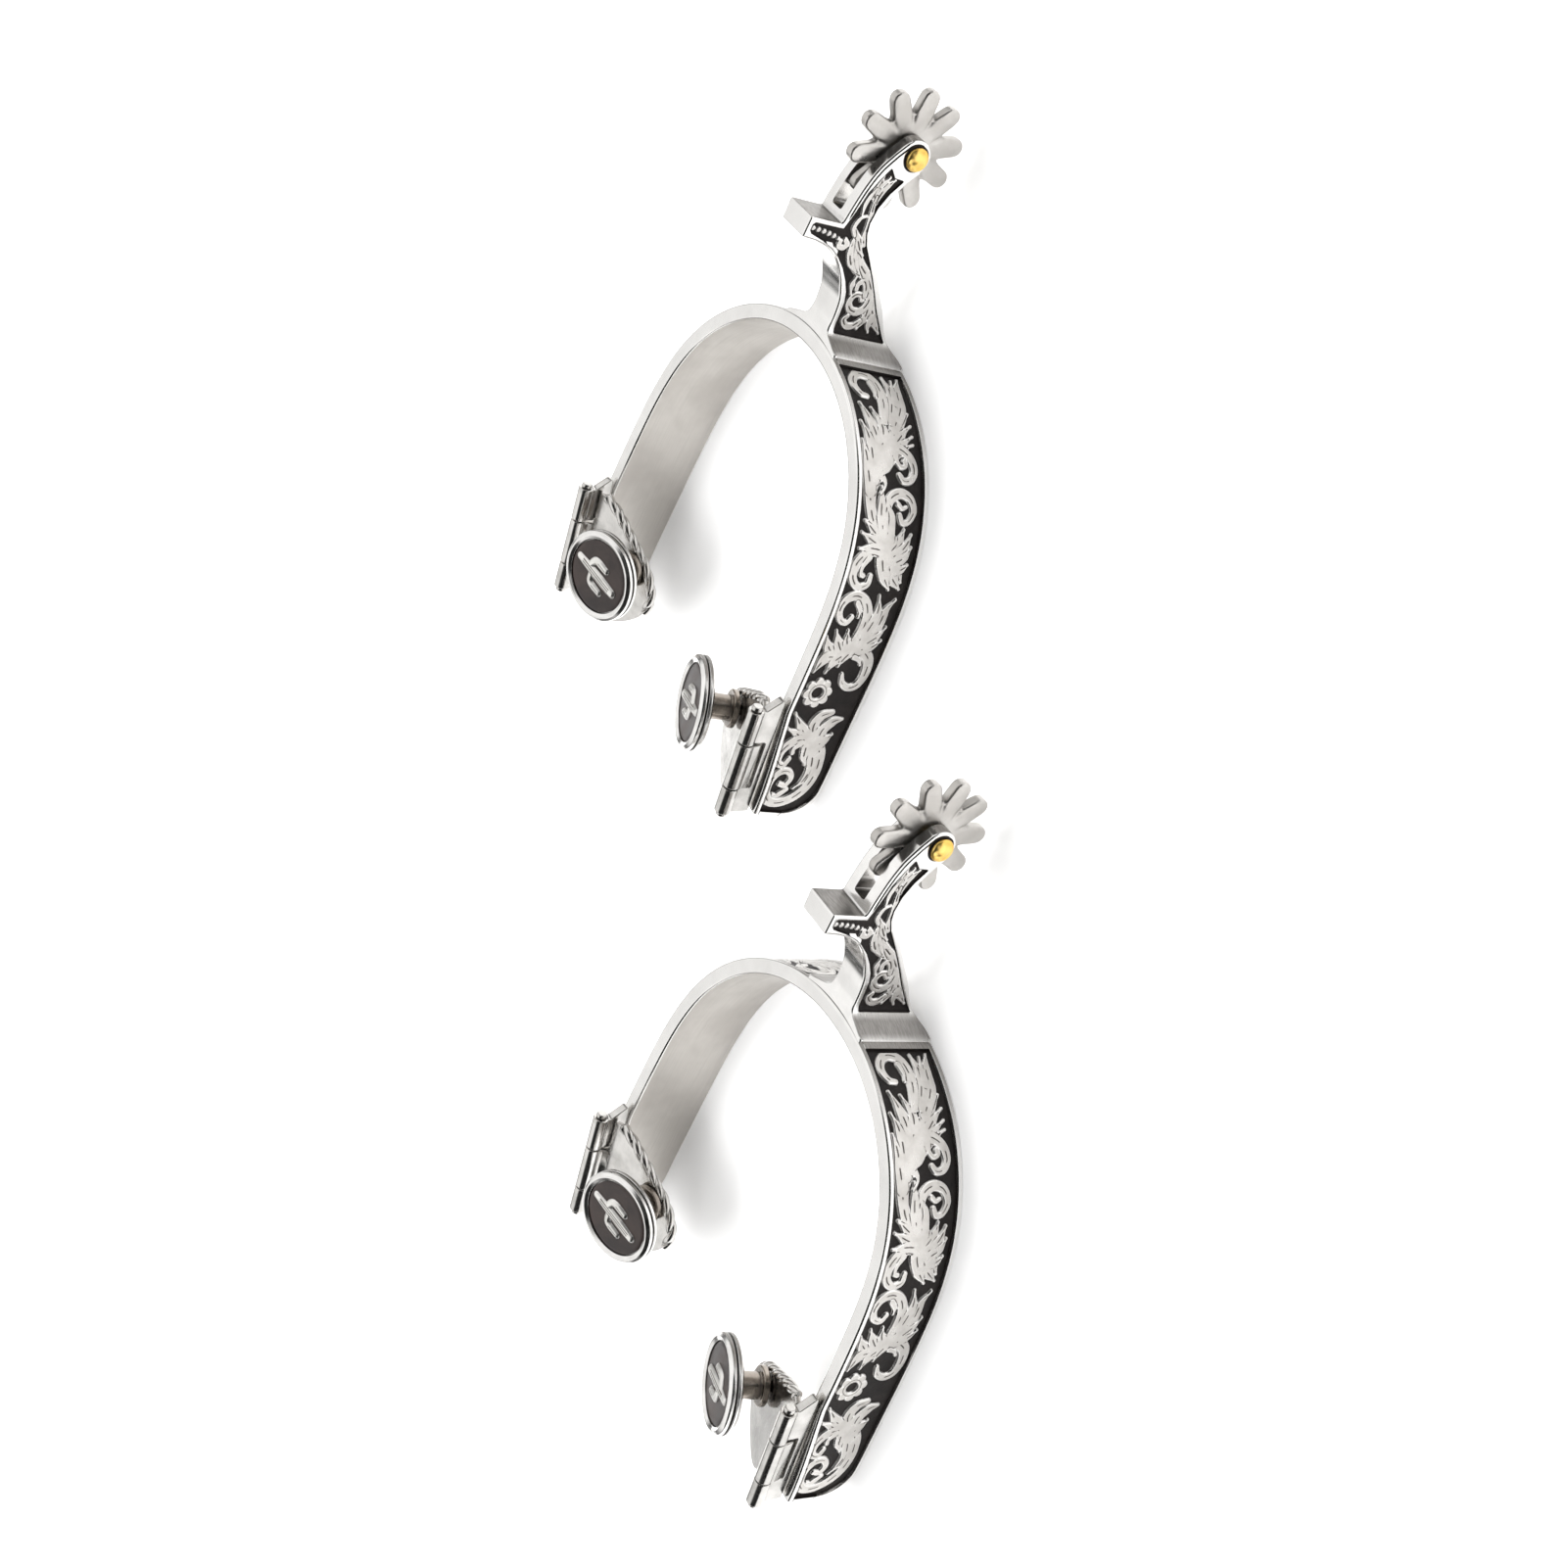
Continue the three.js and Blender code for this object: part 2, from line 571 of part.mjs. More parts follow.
// Pieces on the limb at +X (_r), mirrored for the one at -X (_l).
const handed = [
  ["hinge_leaf", placed(hingeLeaf(), hinge.matrix), steel],
  ["hinge_pin", placed(hingePin(), hinge.matrix), satin],
  ["hanger", placed(hanger(), hangerMatrix), steel],
  ["stud", placed(stud(), hangerMatrix), satin],
  ["button", placed(buttonShell(), hangerMatrix), steel],
  ["enamel", placed(enamel(), hangerMatrix), darkEnamel],
  ["emblem", placed(emblem(), hangerMatrix), silver],
];

function buildSpur(id, phase) {
  const spur = new THREE.Group();
  const add = (name, geometry, material) => {
    const mesh = new THREE.Mesh(geometry, material);
    mesh.name = `${id}_${name}`;
    spur.add(mesh);
  };
  for (const piece of central) add(...piece);
  add("rowel", toGeometry(rowel(phase)), satin);
  for (const [name, geometry, material] of handed) {
    add(`${name}_r`, geometry, material);
    add(`${name}_l`, mirrored(geometry), material);
  }
  return spur;
}

const first = buildSpur("a", ROWEL.phase[0]);
const second = buildSpur("b", ROWEL.phase[1]);
second.position.set(SECOND.x, SECOND.y, 0);
second.rotation.z = degToRad(SECOND.turn);

const pair = new THREE.Group();
pair.add(first, second);
const root = new THREE.Group();
root.name = "spur_pair";
root.add(pair);

// The origin is under the middle of the pair, on the surface it rests on.
pair.updateMatrixWorld(true);
const box = new THREE.Box3().setFromObject(pair, true);
const middle = box.getCenter(new THREE.Vector3());
pair.position.set(-middle.x, -middle.y, -box.min.z);
root.updateMatrixWorld(true);

// Moving axes in the spur frame, the frame of each spur, and the extent before centring.
root.userData = {
  hingeAt: HINGE.at,
  hingeDir: hinge.axis.toArray(),
  pin: [0, AXLE.y, AXLE.z],
  frames: pair.children.map((spur) => spur.matrixWorld.toArray()),
  box: [box.min.toArray(), box.max.toArray()],
};

export default root;
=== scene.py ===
"""A pair of spurs, "a" and "b", lying on a pale floor.

Each spur is modelled in mm in its own frame: +Z up, the heel band a U that starts at the origin
and opens toward +Y, the shank and rowel behind it toward -Y, the left and right limbs along X.
PLACE puts the two frames in the scene, in metres.
"""
import math

import bmesh
import bpy
import numpy as np
from mathutils import Matrix, Vector
from mathutils.geometry import delaunay_2d_cdt, tessellate_polygon


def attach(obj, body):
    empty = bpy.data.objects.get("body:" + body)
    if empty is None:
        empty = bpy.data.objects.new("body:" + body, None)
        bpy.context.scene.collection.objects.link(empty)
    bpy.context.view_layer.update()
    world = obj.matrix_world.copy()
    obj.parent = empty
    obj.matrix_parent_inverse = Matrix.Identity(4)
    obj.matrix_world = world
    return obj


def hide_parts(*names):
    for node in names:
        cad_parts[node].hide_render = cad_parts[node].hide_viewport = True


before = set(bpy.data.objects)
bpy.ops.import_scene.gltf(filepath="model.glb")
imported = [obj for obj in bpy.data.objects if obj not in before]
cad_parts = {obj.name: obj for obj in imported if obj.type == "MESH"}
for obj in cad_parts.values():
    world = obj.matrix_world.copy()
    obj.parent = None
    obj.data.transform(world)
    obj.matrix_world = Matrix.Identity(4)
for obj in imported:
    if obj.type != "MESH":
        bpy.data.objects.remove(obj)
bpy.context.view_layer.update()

MM = 0.001
COARSEN = 1.0  # factor on the relief grids' spacing

PLACE = {
    "a": Matrix.Translation((0.05533238505, -0.07220834976, 0.0102)),
    "b": Matrix.Translation((-0.05133761495, 0.03516165024, 0.0102))
    @ Matrix.Rotation(math.radians(2.62), 4, "Z"),
}
ROWEL_PHASE = {"a": 1.289, "b": 1.458}  # angle of the first rowel point

# heel band
BAND_THICK = 3.75
BAND_SPAN = 126.6  # length of the computed curve
BAND_END = 120.7  # arc length of each limb
BAND_LOW = -10.2
CURVATURE = [0.02129, 0.02241, 0.02465, 0.00336, -0.00112, 0.02129]  # per mm, evenly spaced
CURVE_STEP = 0.25
BEND = 92.8  # arc length where the top edge changes slope
TOP_HEEL, TOP_BEND = 10.35, 9.7
PANEL_START, PANEL_END = 12.2, 119.3
PANEL_RECESS = 0.7
BAND_ROLL = 0.62  # radius of the rolled edges

# rowel pin centre and hole
PIN_Y, PIN_Z = -48.34, 7.28
PIN_HOLE = 1.9


# ---------------------------------------------------------------- curves and outlines
def unit(vectors):
    return vectors / np.maximum(np.linalg.norm(vectors, axis=-1, keepdims=True), 1e-12)


def smoothstep(value, start, stop):
    t = np.clip((value - start) / (stop - start), 0, 1)
    return t * t * (3 - 2 * t)


def rounded(points, radii, closed=True, seg=4, hold=0.04):
    """Rounds a polyline's corners; radii is one number or one per point.
    hold adds a point this far beyond each end of a rounding."""
    points = np.asarray(points, float)
    count = len(points)
    radii = np.full(count, radii, float) if np.isscalar(radii) else np.asarray(radii, float)
    out = []
    for i in range(count):
        here = points[i]
        if not closed and i in (0, count - 1):
            out.append(here)
            continue
        back, ahead = points[i - 1] - here, points[(i + 1) % count] - here
        back_len, ahead_len = np.linalg.norm(back), np.linalg.norm(ahead)
        back, ahead = back / max(back_len, 1e-9), ahead / max(ahead_len, 1e-9)
        angle = math.acos(float(np.clip(back @ ahead, -1, 1)))
        if radii[i] <= 0 or angle > math.radians(176):
            out.append(here)
            continue
        reach = min(radii[i] / math.tan(angle / 2), 0.42 * back_len, 0.42 * ahead_len)
        first, last = here + back * reach, here + ahead * reach
        if hold:
            out.append(first + back * min(hold, 0.05 * back_len))
        for k in range(seg + 1):
            t = k / seg
            out.append((1 - t) ** 2 * first + 2 * t * (1 - t) * here + t * t * last)
        if hold:
            out.append(last + ahead * min(hold, 0.05 * ahead_len))
    return np.array(out)


def arc_lengths(line):
    steps = np.linalg.norm(np.diff(line, axis=0), axis=1)
    return np.concatenate([[0], np.cumsum(steps)])


def smooth_line(points, count):
    """Catmull-Rom through the points, sampled evenly along its length."""
    points = np.asarray(points, float)
    if len(points) == 2:
        return points[0] + (points[1] - points[0]) * np.linspace(0, 1, count)[:, None]
    ends = 2 * points[0] - points[1], 2 * points[-1] - points[-2]
    knots = np.vstack([ends[0], points, ends[1]])
    out = []
    t = np.linspace(0, 1, 13)[:-1][:, None]
    for i in range(len(points) - 1):
        p0, p1, p2, p3 = knots[i : i + 4]
        square = (2 * p0 - 5 * p1 + 4 * p2 - p3) * t**2
        cube = (3 * p1 - p0 - 3 * p2 + p3) * t**3
        out.append(0.5 * (2 * p1 + (p2 - p0) * t + square + cube))
    line = np.vstack(out + [points[-1:]])
    length = arc_lengths(line)
    at = np.linspace(0, length[-1], count)
    return np.stack([np.interp(at, length, line[:, k]) for k in range(line.shape[1])], -1)


def resample(points, step):
    """Splits the sides of a closed outline so that none is longer than step."""
    points = np.asarray(points, float)
    out = []
    for start, stop in zip(points, np.roll(points, -1, 0)):
        parts = max(1, int(math.ceil(np.linalg.norm(stop - start) / step)))
        out.append(start + (stop - start) * (np.arange(parts) / parts)[:, None])
    return np.vstack(out)


def ccw(points):
    x, y = points[:, 0], points[:, 1]
    area = np.sum(x * np.roll(y, -1) - np.roll(x, -1) * y)
    return points if area > 0 else points[::-1].copy()


def inset_dir(points):
    """Direction into a counter-clockwise outline, mitred at its corners."""
    before = unit(points - np.roll(points, 1, 0))
    after = unit(np.roll(points, -1, 0) - points)
    normal = np.stack([-before[:, 1], before[:, 0]], -1)
    inward = unit(normal + np.stack([-after[:, 1], after[:, 0]], -1))
    return inward / np.clip(np.sum(inward * normal, -1, keepdims=True), 0.6, 1)


def circle(centre, radius, count):
    angles = np.linspace(0, 2 * math.pi, count + 1)[:-1]
    return np.array([[centre[0] + radius * math.cos(t), centre[1] + radius * math.sin(t)]
                     for t in angles])


def dist_to(points, outline):
    """Distance from points to a closed outline."""
    out = np.full(len(points), 1e9)
    for start, stop in zip(outline, np.roll(outline, -1, 0)):
        side = stop - start
        t = np.clip(((points - start) @ side) / max(side @ side, 1e-12), 0, 1)
        out = np.minimum(out, np.hypot(*(points - (start + t[:, None] * side)).T))
    return out


def inside(points, outline):
    x, y = points[:, 0], points[:, 1]
    result = np.zeros(len(points), bool)
    for (x0, y0), (x1, y1) in zip(outline, np.roll(outline, -1, 0)):
        if y0 == y1:
            continue
        crosses = (y0 > y) != (y1 > y)
        result ^= crosses & (x < (x1 - x0) * (y - y0) / (y1 - y0) + x0)
    return result


def signed_area(points, tris):
    first, second, third = (points[tris[:, k]] for k in range(3))
    return np.cross(second - first, third - first)


def fill(rings, loose, outline, hole=None):
    """Triangulates constrained rings and loose points, each given as (points, drop).
    Returns the flat points, counter-clockwise triangles and each point's drop."""
    sets = rings + [loose]
    points = np.vstack([ring for ring, _ in sets])
    drop = np.concatenate([np.full(len(ring), depth) for ring, depth in sets])
    edges, base = [], 0
    for ring, _ in rings:
        count = len(ring)
        edges += [(base + i, base + (i + 1) % count) for i in range(count)]
        base += count
    result = delaunay_2d_cdt([Vector(p) for p in points], edges, [], 0, 1e-4)
    flat = np.array([list(v) for v in result[0]])
    tris = np.array([f for f in result[2] if len(f) == 3], int)
    drops = np.array([drop[origin[0]] if origin else 0.0 for origin in result[3]])
    centres = flat[tris].mean(1)
    keep = inside(centres, outline)
    if hole is not None:
        keep &= ~inside(centres, hole)
    tris = tris[keep]
    flip = signed_area(flat, tris) < 0
    tris[flip] = tris[flip][:, ::-1]
    return flat, tris, drops


# ---------------------------------------------------------------- mesh pieces
class Geo:
    """Vertices in mm, faces, material indices and point attributes of one mesh."""

    def __init__(self):
        self.verts, self.faces, self.mats = [], [], []
        self.attrs, self.count = {}, 0

    def add(self, verts, faces, mat=0, **attrs):
        verts = np.asarray(verts, float).reshape(-1, 3)
        for group in faces if isinstance(faces, list) else [faces]:
            group = np.asarray(group, int)
            self.faces.append(group + self.count)
            self.mats.append(np.full(len(group), mat))
        for key, values in attrs.items():
            entry = (self.count, np.asarray(values, float).ravel())
            self.attrs.setdefault(key, []).append(entry)
        self.verts.append(verts)
        self.count += len(verts)

    def merge(self, other):
        self.faces.extend(group + self.count for group in other.faces)
        self.mats.extend(other.mats)
        self.verts.extend(other.verts)
        self.count += other.count

    def mapped(self, matrix):
        matrix = np.array(matrix)
        out = Geo()
        out.verts = [v @ matrix[:3, :3].T + matrix[:3, 3] for v in self.verts]
        flips = np.linalg.det(matrix[:3, :3]) < 0
        out.faces = [group[:, ::-1] if flips else group for group in self.faces]
        out.mats, out.attrs, out.count = list(self.mats), dict(self.attrs), self.count
        return out

    def mirrored(self):
        return self.mapped(np.diag([-1.0, 1, 1, 1]))

    def outward(self):
        """Turns every face so that the closed shape's volume is positive."""
        verts = np.concatenate(self.verts)
        volume = 0.0
        for group in self.faces:
            for k in range(1, group.shape[1] - 1):
                first, second, third = (verts[group[:, i]] for i in (0, k, k + 1))
                volume += np.sum(first * np.cross(second, third))
        if volume < 0:
            self.faces = [group[:, ::-1] for group in self.faces]
        return self

    def mesh(self, name, mats, weld=0.0, sharp=None):
        """weld is a distance in mm, sharp an angle in degrees."""
        mesh = bpy.data.meshes.new(name)
        verts = np.concatenate(self.verts) * MM
        loops = np.concatenate([group.ravel() for group in self.faces])
        sizes = np.concatenate([np.full(len(group), group.shape[1]) for group in self.faces])
        starts = np.concatenate([[0], np.cumsum(sizes)[:-1]])
        mesh.vertices.add(len(verts))
        mesh.vertices.foreach_set("co", verts.astype(np.float32).ravel())
        mesh.loops.add(len(loops))
        mesh.loops.foreach_set("vertex_index", loops.astype(np.int32))
        mesh.polygons.add(len(sizes))
        mesh.polygons.foreach_set("loop_start", starts.astype(np.int32))
        indices = np.concatenate(self.mats).astype(np.int32)
        mesh.polygons.foreach_set("material_index", indices)
        for key, entries in self.attrs.items():
            values = np.zeros(len(verts), np.float32)
            for start, part in entries:
                values[start : start + len(part)] = part
            mesh.attributes.new(key, "FLOAT", "POINT").data.foreach_set("value", values)
        for mat in mats:
            mesh.materials.append(mat)
        mesh.update(calc_edges=True)
        mesh.validate()
        if weld:
            work = bmesh.new()
            work.from_mesh(mesh)
            bmesh.ops.remove_doubles(work, verts=work.verts, dist=weld * MM)
            work.to_mesh(mesh)
            work.free()
        shade_smooth(mesh, sharp)
        mesh.update()
        return mesh


def shade_smooth(mesh, sharp):
    mesh.polygons.foreach_set("use_smooth", np.full(len(mesh.polygons), True))
    if sharp is not None:
        mesh.set_sharp_from_angle(angle=math.radians(sharp))


def quads(rows, cols, wrap=False):
    """Faces of a rows x cols grid; wrap joins the last column to the first."""
    i = np.arange(rows - 1)[:, None]
    j = np.arange(cols if wrap else cols - 1)[None, :]
    k = (j + 1) % cols
    corners = [i * cols + j, i * cols + k, (i + 1) * cols + k, (i + 1) * cols + j]
    return np.stack(corners, -1).reshape(-1, 4)


def plate(outline, low, high, bevel=0.3, seg=3, holes=(), step=0.6):
    """A flat piece with rolled edges from w = low to w = high, as (u, v, w)."""
    geo = Geo()
    loops = [ccw(resample(outline, step))]
    loops += [ccw(resample(hole, step))[::-1].copy() for hole in holes]
    profile = [(bevel + 0.08, low)]  # (inset, w)
    for angle in np.linspace(math.pi / 2, 0, seg + 1):
        profile.append((bevel * (1 - math.cos(angle)), low + bevel * (1 - math.sin(angle))))
    profile += [(inset, low + high - w) for inset, w in reversed(profile)]
    caps = []
    for loop in loops:
        inward = inset_dir(loop)
        rows = [np.column_stack([loop + inward * inset, np.full(len(loop), w)])
                for inset, w in profile]
        geo.add(np.vstack(rows), quads(len(rows), len(loop), wrap=True))
        caps.append((rows[0], rows[-1]))
    for k in (0, 1):
        flat = [[Vector((*p[:2], 0)) for p in cap[k]] for cap in caps]
        tris = np.array(tessellate_polygon(flat), int)
        verts = np.vstack([cap[k] for cap in caps])
        rising = signed_area(verts[:, :2], tris) > 0
        flip = rising if k == 0 else ~rising
        tris[flip] = tris[flip][:, ::-1]
        geo.add(verts, tris)
    return geo


def lathe(profile, count=48, closed=False, wave=None):
    """Turns (radius, height) pairs about the w axis, as (u, v, w).
    A closed profile makes a tube; an open one is closed by a point at each end."""
    geo = Geo()
    profile = np.asarray(profile, float)
    angles = np.arange(count) * 2 * math.pi / count
    radius = profile[:, 0][:, None] * np.ones(count)
    height = profile[:, 1][:, None] * np.ones(count)
    if wave is not None:
        radius, height = wave(radius, height, angles[None, :])
    verts = np.stack([radius * np.cos(angles), radius * np.sin(angles), height], -1)
    verts = verts.reshape(-1, 3)
    faces = quads(len(profile), count, wrap=True)
    j = np.arange(count)
    k = (j + 1) % count
    last = (len(profile) - 1) * count
    if closed:
        joined = np.vstack([faces, np.stack([last + j, last + k, k, j], -1)])
        geo.add(verts, joined)
    else:
        tip = np.full(count, len(verts))
        tips = [[0.0, 0.0, height[ring].mean()] for ring in (0, -1)]
        caps = [np.stack([k, j, tip], -1), np.stack([last + j, last + k, tip + 1], -1)]
        geo.add(np.vstack([verts, tips]), [faces] + caps)
    return geo.outward()


# ---------------------------------------------------------------- heel band surface
def inner_curve():
    """x, y and heading of the band's inner face, from the heel along the +X limb."""
    x = y = heading = 0.0
    rows = []
    for arc in np.arange(0, BAND_SPAN, CURVE_STEP):
        rows.append((x, y, heading))
        k = (arc + CURVE_STEP / 2) / (BAND_SPAN / 5)
        i = min(4, int(k))
        bend = CURVATURE[i] + (CURVATURE[i + 1] - CURVATURE[i]) * (k - i)
        x += math.cos(heading + bend * CURVE_STEP / 2) * CURVE_STEP
        y += math.sin(heading + bend * CURVE_STEP / 2) * CURVE_STEP
        heading += bend * CURVE_STEP
    return np.array(rows)


CURVE = inner_curve()
CURVE_ARC = np.arange(len(CURVE)) * CURVE_STEP


def on_band(arc, depth):
    """x and y at signed arc length of the inner face, depth into the metal."""
    x, y, heading = (np.interp(np.abs(arc), CURVE_ARC, CURVE[:, k]) for k in range(3))
    side = np.where(arc < 0, -1, 1)
    return side * (x + depth * np.sin(heading)), y - depth * np.cos(heading)


def outer_arc(arc):
    return np.abs(arc) + BAND_THICK * np.interp(np.abs(arc), CURVE_ARC, CURVE[:, 2])


def band_top(arc):
    along_heel = TOP_HEEL + (TOP_BEND - TOP_HEEL) * arc / BEND
    return np.where(arc > BEND, TOP_BEND - (arc - BEND) * 0.15, along_heel)


def end_rise(arc, start, stop, rise):
    """Height of the elliptical corner that lifts the lower edge at a limb's end."""
    k = np.clip((arc - start) / (stop - start), 0, 1)
    return rise * (1 - np.sqrt(np.maximum(0, 1 - k * k)))


def band_low(arc):
    return BAND_LOW + end_rise(arc, start=112.5, stop=BAND_END + 0.01, rise=9.3)


def panel_low(arc):
    return BAND_LOW + 1.4 + end_rise(arc, start=112.0, stop=PANEL_END + 0.01, rise=7.6)


def panel_top(arc):
    return band_top(arc) - 1.3


def band_stations():
    """Signed arc lengths of the cross sections, closer at the panel ends and limb tips."""
    tail = 112.0 + 7.3 * np.sin(np.linspace(0, math.pi / 2, 34))
    tip = BAND_END - np.array([0.9, 0.72, 0.52, 0.34, 0.2, 0.1, 0.03, 0.0])
    half = np.concatenate([np.arange(0, 12.0, 0.5), [12.0, 12.14, PANEL_START, 12.32, 12.5],
                           np.arange(13, 112, 0.7 * COARSEN), tail, [PANEL_END], tip])
    half = np.unique(np.round(half, 5))
    return np.concatenate([-half[::-1], half[1:]])


def band_section(arc):
    """Closed section at arc: (depth, z, tag); tag 1 is panel floor, 2 inner face."""
    low, high = float(band_low(np.array(arc))), float(band_top(np.array(arc)))
    shrink = 0.0
    if arc > BAND_END - 0.9:
        k = (arc - (BAND_END - 0.9)) / 0.9
        shrink = 0.75 * (1 - math.sqrt(max(0.0, 1 - k * k)))
    inner, outer, low, high = shrink, BAND_THICK - shrink, low + shrink, high - shrink
    floor_low, floor_top = float(panel_low(np.array(arc))), float(panel_top(np.array(arc)))
    if not PANEL_START - 1e-6 <= arc <= PANEL_END + 1e-6:
        middle = (high + low) / 2
        floor_low, floor_top = max(floor_low, low + 0.75), min(floor_top, high - 0.75)
        if floor_low > floor_top - 0.3:
            floor_low, floor_top = middle - 0.15, middle + 0.15
    recess = PANEL_RECESS if 12.32 - 1e-6 <= arc <= 119.25 else 0.0
    roll = BAND_ROLL

    def edge(face, inward, rim, upward):
        return [(face + inward * roll * (1 - math.cos(a)), rim + upward * roll * (1 - math.sin(a)), 0)
                for a in np.linspace(0, math.pi / 2, 5)]

    floor_height = floor_top - floor_low - 0.2
    panel = [(outer, floor_low - 0.22, 0), (outer - 0.02, floor_low - 0.1, 0),
             (outer - 0.1, floor_low, 0), (outer - recess, floor_low + 0.1, 1)]
    panel += [(outer - recess, floor_low + 0.1 + floor_height * k, 1)
              for k in np.linspace(0, 1, 10)[1:-1]]
    panel += [(outer - recess, floor_top - 0.1, 1), (outer - 0.1, floor_top, 0),
              (outer - 0.02, floor_top + 0.1, 0), (outer, floor_top + 0.22, 0)]
    back = [(inner, high - roll - (high - low - 2 * roll) * k, 2)
            for k in np.linspace(0, 1, 14)[1:-1]]
    near, far = inner + roll + 0.1, outer - roll - 0.1
    lower = edge(inner, 1, low, 1) + [(near, low, 0), (far, low, 0)]
    lower += edge(outer, -1, low, 1)[::-1]
    upper = edge(outer, -1, high, -1) + [(far, high, 0), (near, high, 0)]
    upper += edge(inner, 1, high, -1)[::-1]
    return lower + panel + upper + back


def heel_band():
    """The band as one sweep: satin inside, polished rims, a recessed panel outside each limb."""
    rows = np.array([[(arc, *p) for p in band_section(abs(arc))] for arc in band_stations()])
    x, y = on_band(rows[..., 0], rows[..., 1])
    verts = np.stack([x, y, rows[..., 2]], -1).reshape(-1, 3)
    count = rows.shape[1]
    faces = quads(len(rows), count, wrap=True)
    tag = rows[..., 3].ravel()[faces]
    arc = np.abs(rows[..., 0]).ravel()[faces]
    on_floor = (tag == 1).all(1) & (arc.min(1) > 12.1) & (arc.max(1) < 119.35)
    geo = Geo()
    geo.add(verts, faces, np.where(on_floor, 1, np.where((tag == 2).any(1), 2, 0)))
    ring = np.arange(count)
    geo.faces += [ring[None, ::-1], (ring + (len(rows) - 1) * count)[None, :]]
    geo.mats += [np.array([0]), np.array([0])]
    return geo.outward()


# ---------------------------------------------------------------- raised ornament
MODULE = 0.8926  # mm, drawing module that stroke radii are given in
NO_VEIN = False


class Ornament:
    """Leaf and scroll strokes, each drawn by sweeping a disc along a curve.
    to_plane maps drawing points to mm; radii are scaled by fuller, held above blunt."""

    def __init__(self, to_plane, module=MODULE, fuller=1.0, blunt=0.0):
        self.to_plane, self.module = to_plane, module
        self.fuller, self.blunt = fuller, blunt
        self.strokes = []

    def stroke(self, points, radii, vein=True, outlined=True):
        points = np.array([self.to_plane(*p) for p in points])
        length = np.sum(np.linalg.norm(np.diff(points, axis=0), axis=1))
        count = max(12, int(length / 0.16))
        radius = np.interp(np.linspace(0, 1, count), np.linspace(0, 1, len(radii)), radii)
        radius = np.maximum(radius * self.fuller, self.blunt) * self.module
        self.strokes.append((smooth_line(points, count), radius, vein, outlined))

    def fields(self, x_grid, y_grid):
        """Depth inside the silver, depth inside an engraved line (mm), and stroke lift."""
        depth = np.full(x_grid.shape, -9.0, np.float32)
        line, cuts = depth.copy(), depth.copy()
        lift = np.zeros(x_grid.shape, np.float32)
        ordered = sorted(self.strokes, key=lambda entry: -round(float(entry[1].max()), 3))
        for number, (centre, radius, vein, outlined) in enumerate(ordered):
            low = centre.min(0) - radius.max() - 0.6
            high = centre.max(0) + radius.max() + 0.6
            near = (x_grid >= low[0]) & (x_grid <= high[0])
            near &= (y_grid >= low[1]) & (y_grid <= high[1])
            if not near.any():
                continue
            x, y = x_grid[near].astype(np.float32), y_grid[near].astype(np.float32)
            own = np.full(x.shape, -9.0, np.float32)
            own_cut = own.copy()
            count = len(centre)
            for j in range(count):
                away = np.hypot(x - centre[j, 0], y - centre[j, 1])
                own = np.maximum(own, radius[j] - away)
                if vein and radius[j] > 0.5 * self.module and 0.06 * count < j < 0.92 * count:
                    # the vein is broken into dashes
                    beat = math.sin(2 * math.pi * j * 0.16 / 4.6 + 1.7 * number)
                    gouge = 0.12 * min(1, 1.8 * (beat + 0.4))
                    if gouge > 0.03:
                        own_cut = np.maximum(own_cut, gouge * min(1, 4 * (1 - j / count)) - away)
            old = depth[near]
            edge = 0.085 - np.abs(own - 0.02) if outlined else np.full(own.shape, -9.0, np.float32)
            within = own > 0.0
            behind = np.maximum(line[near], np.where(old > 0.1, edge, -9))
            line[near] = np.where(within, edge, behind)
            kept = np.where(within, -9.0, cuts[near])
            cuts[near] = np.where(own > 0.25, own_cut, kept)
            depth[near] = np.maximum(old, own)
            lift[near] = np.where(within, 0.03 * ((number * 7) % 5), lift[near])
        # outlines between two leaves start at the notch and fade toward the body
        line = np.maximum(line - 0.2 * np.clip(depth - 0.5, 0, 2), cuts)
        return depth, np.where(depth > 0.17, line, -9.0), lift


def relief(depth, line, rise, round_over=0.3):
    """Height of the silver above the ground; below it outside the strokes."""
    height = rise * np.sqrt(np.clip((depth + 0.06) / round_over, 0, 1))
    height = np.where(depth < -0.06, np.maximum(-0.25, (depth + 0.06) * 1.5), height)
    return height - 0.16 * smoothstep(line, -0.07, 0.06) * (depth > 0.1)


